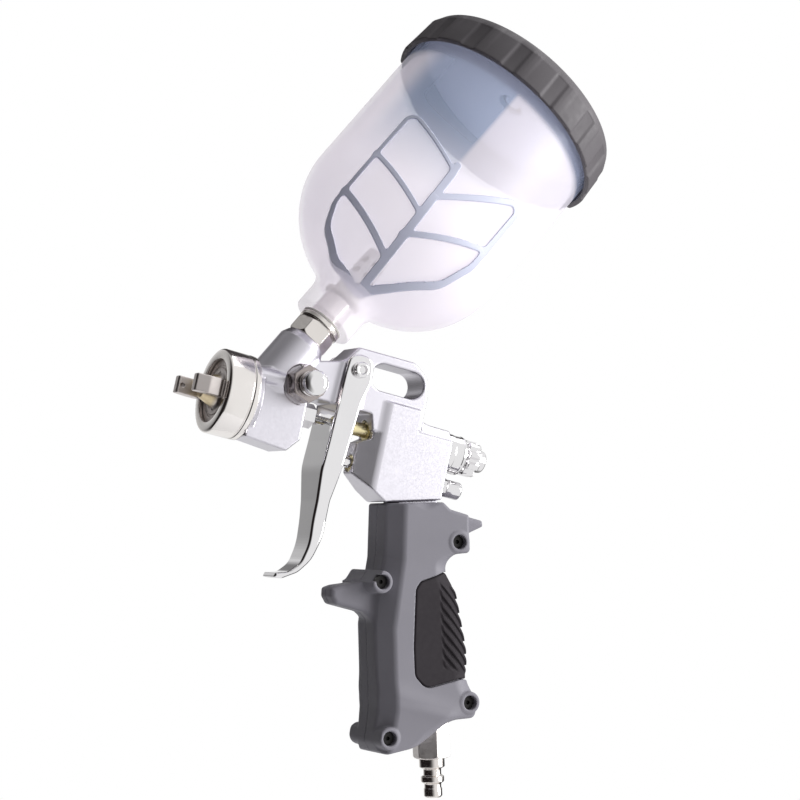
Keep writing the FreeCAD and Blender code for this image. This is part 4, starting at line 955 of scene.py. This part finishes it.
def make_nipple():
    turn = math.radians(20)
    first, second = frame_of(CUP_AXIS)
    side = first * math.cos(turn) + second * math.sin(turn)

    def nipple_field(x, y, z):
        station, distance = along(x, y, z, CUP_ORIGIN, CUP_AXIS)
        nut = hexagon_rod(x, y, z, CUP_ORIGIN + CUP_AXIS * 34, CUP_AXIS, side, 16, 8.2, 0.3)
        nut = meet(nut, (distance - 8 - np.abs(station - 38) * -0.8 - 3.6) * 0.7, 0.3)
        stud = meet(distance - 6, np.abs(station - 32) - 8, 0.2)
        neck = meet(distance - 7, np.abs(station - 48.5) - 8.5, 0.6)
        collar = meet(distance - 9.4, np.abs(station - 43.2) - 1.2, 0.4)
        solid = join(join(nut, stud, 0.3), join(neck, collar, 0.2), 0.3)
        return carve(solid, distance - 4, 0.2)

    sculpt_node("cup_union", "cup_nipple", nipple_field, 0.28, "nickel")


# ---------------- handle

# The handle's outline and the plainer one of its grip, without hook and spur, share most corners.
GRIP_TOP = [(82.6, -28.1, 1.5), (106, -22.2, 2), (110, -24.4, 3)]
GRIP_BACK = [
    (123.2, -40.4, 2), (114.2, -43, 4), (116.4, -49.6, 8), (123, -56.5, 20),
    (134.6, -82, 40), (135.8, -92, 10), (142.8, -99.4, 4), (141.8, -107.2, 4),
    (129, -110.6, 14), (118.6, -123.6, 14), (103, -130.4, 3.5), (98.8, -125.5, 5),
    (97.6, -112, 20),
]
GRIP_THROAT = (86.8, -50, 8)
HANDLE_OUTLINE = [
    *GRIP_TOP, (129.6, -24.9, 1), (130.6, -27.4, 1), (122.8, -33, 3), *GRIP_BACK,
    (88.4, -76.5, 4), (84, -74.2, 3), (70.6, -73.8, 2), (68, -71, 1.5), (67.4, -67.4, 1.5),
    (70.4, -65.6, 4), (82.2, -61.4, 3), GRIP_THROAT,
]
GRIP_OUTLINE = [
    *GRIP_TOP, (119, -24.9, 1), (121, -33, 3), *GRIP_BACK,
    (88.8, -78.5, 3), (87.3, -66, 8), GRIP_THROAT,
]
HOLLOW_OUTLINE = [
    (87.4, -32.4, 2), (106, -28.2, 2), (113.6, -29.4, 2), (111.4, -43.4, 3), (113.6, -52, 8),
    (120.4, -60.4, 20), (130.8, -84, 30), (132.4, -94.6, 8), (137.6, -101.2, 3),
    (136.4, -104, 2), (125.6, -107.6, 10), (115.4, -120, 10), (104.2, -126.6, 2),
    (101.8, -122, 4), (92.4, -78, 10), (90.4, -56, 12),
]
PAD_OUTLINE = [
    (101.4, -60.4, 4), (103, -57, 3), (114, -50.6, 3), (160, -48, 0), (160, -89, 0),
    (130, -92.6, 4), (115, -99.6, 5), (109, -95.6, 4), (105.8, -84, 20),
]
TANG_WAY = [(85.9, -18, 0), (104.75, -13, 0), (110.5, -40, 0), (93.5, -40, 0)]
HANDLE_SCREWS = [(85.4, -60.8), (116.6, -37), (136.4, -101.5), (102.9, -122.9)]
FRONT_EDGE, PALM_EDGE, END_EDGE = 1.6, 9.5, 1.6
GRIP_FRONT_Z = (-125.5, -112, -78.5, -50, -28.6)    # the grip's front line, from the foot up
GRIP_FRONT_X = (98.8, 97.6, 88.8, 86.8, 82.6)
BEVEL_BACK, BEVEL_IN = 6.3, 6.6                         # how far the bevel reaches back and in
BEVEL_WALL = 2.2
PAD_DEPTH = 1.6
RIB_PITCH, RIB_HEIGHT = 3.1, 0.85
SCREW_RIM, SCREW_HOLE, SCREW_SHANK = 4.7, 3, 1.42     # radii


def grip_half_width(x, z):
    """The grip is widest at the ridge near its foot, and slimmer above and below it."""
    ridge = np.exp(-((z + 107 + (x - 118) * 0.12) / 4.6) ** 2)
    return 15 + 1 * ridge + 0.5 * ramp(-z, 106, 110) - 2 * ramp(-z, 110, 130)


def grip_edge(x, z):
    """How far the side rounds over: tight in front, wide at the palm, small at the ends."""
    middle = 96 + (-30 - z) * 0.21
    palm = ramp(x, middle - 3, middle + 10)
    edge = FRONT_EDGE + (PALM_EDGE - FRONT_EDGE) * palm
    ends = np.maximum(ramp(z, -50, -40), ramp(-z, 96, 112) * 0.75) * palm
    return edge + (END_EDGE - edge) * ends


def grip_bevel(x, z, beside):
    """The flat bevel between the grip's front and its side."""
    front = np.interp(z, GRIP_FRONT_Z, GRIP_FRONT_X)
    steepness = math.hypot(1 / BEVEL_BACK, 1 / BEVEL_IN)
    return ((front - x) / BEVEL_BACK + beside / BEVEL_IN + 1) / steepness


def grip_field(x, y, z):
    """The closed outer form of the grip, without its hollow."""
    depth = np.abs(y)
    beside = depth - grip_half_width(x, z)
    body = meet(polygon(x, z, GRIP_OUTLINE), beside, grip_edge(x, z))
    body = meet(body, grip_bevel(x, z, beside), 1)
    whole = polygon(x, z, HANDLE_OUTLINE)
    hook = meet(meet(whole, x - 92), depth - 6, 2.2)
    spur = meet(meet(whole, 114 - x), depth - 8, 2.4)
    body = join(join(body, meet(hook, z + 58), 2.5), meet(spur, -z - 34), 1.5)
    for x0, z0 in HANDLE_SCREWS:
        rim = meet(np.hypot(x - x0, z - z0) - SCREW_RIM, depth - 15.3, 0.9)
        body = join(body, rim, 0.9)
    return meet(body, whole, 0.4)


def handle_field(side):
    def field(x, y, z):
        outer = grip_field(x, y, z)
        half = meet(outer, side * -y + 0.02, 0.3)
        pad = meet(polygon(x, z, PAD_OUTLINE) - 0.35, -(outer + PAD_DEPTH))
        half = carve(half, pad, 0.35)
        core = meet(polygon(x, z, HOLLOW_OUTLINE), np.abs(y) - 12.2, 2)
        for x0, z0 in HANDLE_SCREWS:
            core = carve(core, np.hypot(x - x0, z - z0) - 5, 1)
        bevel = grip_bevel(x, z, np.abs(y) - grip_half_width(x, z))
        core = meet(core, bevel + BEVEL_WALL, 1)
        half = carve(half, core, 0.3)
        half = carve(half, meet(polygon(x, z, TANG_WAY), np.abs(y) - 7.5), 0.3)
        air_way = rod(x, y, z, INLET_ORIGIN, INLET_AXIS, 5.1, 90)
        coupling_way = rod(x, y, z, INLET_ORIGIN + INLET_AXIS * 82, INLET_AXIS, 8.4, 20)
        half = carve(carve(half, air_way, 0.3), coupling_way, 0.5)
        for x0, z0 in HANDLE_SCREWS:
            hole = np.hypot(x - x0, z - z0)
            if side < 0:
                half = carve(half, meet(hole - SCREW_HOLE, y + 11), 0.35)
            half = carve(half, meet(hole - SCREW_SHANK, np.abs(y) - 12), 0.1)
        return half
    return field


def pad_field(side):
    def field(x, y, z):
        outer = grip_field(x, y, z)
        plan = polygon(x, z, PAD_OUTLINE)
        # The ribs slant across the palm's third of the pad, in a field sunk by about half their height.
        palm = ramp(x + 0.28 * (z + 75), 116.5, 118)
        ribbed = palm * ramp(z, -90.5, -88) * (1 - ramp(z, -57.5, -54.5))
        slant = z * 0.82 + (x - 120) * 0.57 - np.maximum(9 - np.abs(y), 0) * 0.25
        slant = slant / RIB_PITCH
        rib = np.abs(slant - np.floor(slant) - 0.5) * 2
        ribs = RIB_HEIGHT * ramp(rib, 0.2, 0.75) * ribbed
        skin = meet(outer + 0.35 + 0.45 * ribbed - ribs, plan, 0.8)
        skin = carve(skin, outer + PAD_DEPTH)
        return meet(skin, side * -y + 0.05, 0.15)
    return field


def make_handle():
    for side, name in ((-1, "left"), (1, "right")):
        sculpt_node(f"grip_half_{name}", f"handle_{name}", handle_field(side), 0.5, "grip_plastic")
        sculpt_node(f"grip_skin_{name}", f"grip_pad_{name}", pad_field(side), 0.42, "grip_rubber",
                    margin=1)


# ---------------- air inlet

def make_inlet():
    side = np.array([math.cos(INLET_RAKE), 0, math.sin(INLET_RAKE)])
    turn = math.radians(8)
    across = np.cross(INLET_AXIS, side)
    flat = side * math.cos(turn) + across * math.sin(turn)

    def coupling_field(x, y, z):
        station, distance = along(x, y, z, INLET_ORIGIN, INLET_AXIS)
        nut = hexagon_rod(x, y, z, INLET_ORIGIN + INLET_AXIS * 88.2, INLET_AXIS, flat, 14, 17.6, 0.3)
        crown = (distance - 9 + np.maximum(np.abs(station - 97) - 7.6, 0) * 1.5) * 0.6
        nut = meet(nut, crown, 0.3)
        return carve(nut, distance - 3.7, 0.2)

    sculpt_node("inlet_nut", "inlet_coupling", coupling_field, 0.3, "nickel",
                material=SATIN_NICKEL)
    plug = lathe("inlet_stem", INLET_ORIGIN, INLET_AXIS, [
        (100, 2.4, 0.1), (100, 3.7, 0.2), (105.8, 3.7, 0), (105.8, 5.4, 0.4),
        (109.6, 5.4, 0.5), (110.4, 3.8, 0.5), (113, 3.8, 0.6), (113.6, 4.9, 0.4),
        (115.8, 4.9, 0.5), (116.6, 3.6, 0.6), (118.2, 3.6, 0.4), (118.8, 3.9, 0.3),
        (121.8, 3.9, 0.5), (122.4, 3.2, 0.2), (122.4, 2.4, 0.2)])
    dress(plug, "inlet_plug", "nickel")


# ---------------- camera, floor and light

SKY = (0.9, 0.9, 0.9)
# The world's dark screens: the way each one faces, the cosines of the angles from it at which it
# begins and is full, and its colour. They stand before the muzzle, behind the gun's right side,
# and above and beyond the gun.
SCREENS = [
    ((-0.96, -0.02, -0.28), -0.12, 0.70, (0.015, 0.012, 0.012)),
    ((0.88, 0.50, -0.05), 0.74, 0.93, (0.02, 0.018, 0.018)),
    ((0.05, 0.66, 0.75), 0.82, 0.94, (0.05, 0.045, 0.047)),
]


def make_camera():
    """A long lens, a little below the gun, before its left side; azimuth 0 looks along +Y."""
    data = bpy.data.cameras.new("camera")
    data.lens = 103.5
    data.sensor_width = 36
    data.clip_start, data.clip_end = 0.05, 20
    camera = bpy.data.objects.new("camera", data)
    azimuth, elevation, roll = (math.radians(angle) for angle in (-25.376, -8.351, 11.641))
    turn = Matrix.Rotation(azimuth, 4, "Z") @ Matrix.Rotation(math.pi / 2 - elevation, 4, "X")
    place = Matrix.Translation((-0.32867, -0.86875, -0.12439))
    camera.matrix_world = place @ turn @ Matrix.Rotation(roll, 4, "Z")
    bpy.context.scene.collection.objects.link(camera)
    bpy.context.scene.camera = camera


def make_floor():
    radius, level, corners = 0.45, -0.62, 96
    angle = np.linspace(0, 2 * math.pi, corners, endpoint=False)
    places = [radius * np.cos(angle), radius * np.sin(angle), np.full(corners, level)]
    floor = new_piece("floor", np.stack(places, axis=1) / MM, [range(corners)])
    material, tree, shader = material_nodes("floor_paper")
    vary_colour(tree, shader, noise(tree, 6, 4), (0.86, 0.86, 0.87), (0.82, 0.82, 0.83))
    vary_roughness(tree, shader, noise(tree, 40), 0.6, 0.7)
    floor.data.materials.append(material)


def area_light(name, toward, distance, size, power):
    """A soft box that looks at the object from the given direction."""
    data = bpy.data.lights.new(name, "AREA")
    data.shape = "RECTANGLE"
    data.size, data.size_y = size
    data.energy = power
    light = bpy.data.objects.new(name, data)
    direction = Vector(toward).normalized()
    target = (CAD_BOX[0] + CAD_BOX[1]) / 2
    light.location = target + direction * distance
    light.rotation_euler = direction.to_track_quat("Z", "Y").to_euler()
    bpy.context.scene.collection.objects.link(light)


def make_world():
    """A white studio. Its dark screens show in the gun's surfaces, and the camera sees plain white."""
    world = bpy.data.worlds.new("studio")
    bpy.context.scene.world = world
    world.use_nodes = True
    tree = world.node_tree
    direction = add_node(tree, "ShaderNodeTexCoord").outputs["Generated"]
    light = SKY
    for toward, start, end, colour in SCREENS:
        facing = reach_toward(tree, direction, Vector(toward).normalized())
        light = mixed(tree, rescaled(tree, facing, start, end, kind="SMOOTHSTEP"), light, colour)
    camera_ray = add_node(tree, "ShaderNodeLightPath").outputs["Is Camera Ray"]
    background = tree.nodes["Background"]
    feed(tree, background.inputs["Color"], mixed(tree, camera_ray, light, (1, 1, 1)))
    background.inputs["Strength"].default_value = 1


def make_stage():
    bpy.context.scene.view_settings.view_transform = "Standard"
    make_camera()
    make_floor()
    make_world()
    area_light("key", (0.80, -0.52, 0.26), 1.6, (0.8, 1), 24)
    area_light("top", (0.35, 0.1, 1), 1.4, (0.8, 0.8), 4)


# ---------------- run

dress_frame()
make_casting()
make_air_cap()
make_ring()
make_nozzle()
make_fan_control()
make_rear_controls()
make_springs()
make_trigger()
make_cup()
make_lattice()
make_lid()
make_nipple()
make_handle()
make_inlet()
make_stage()
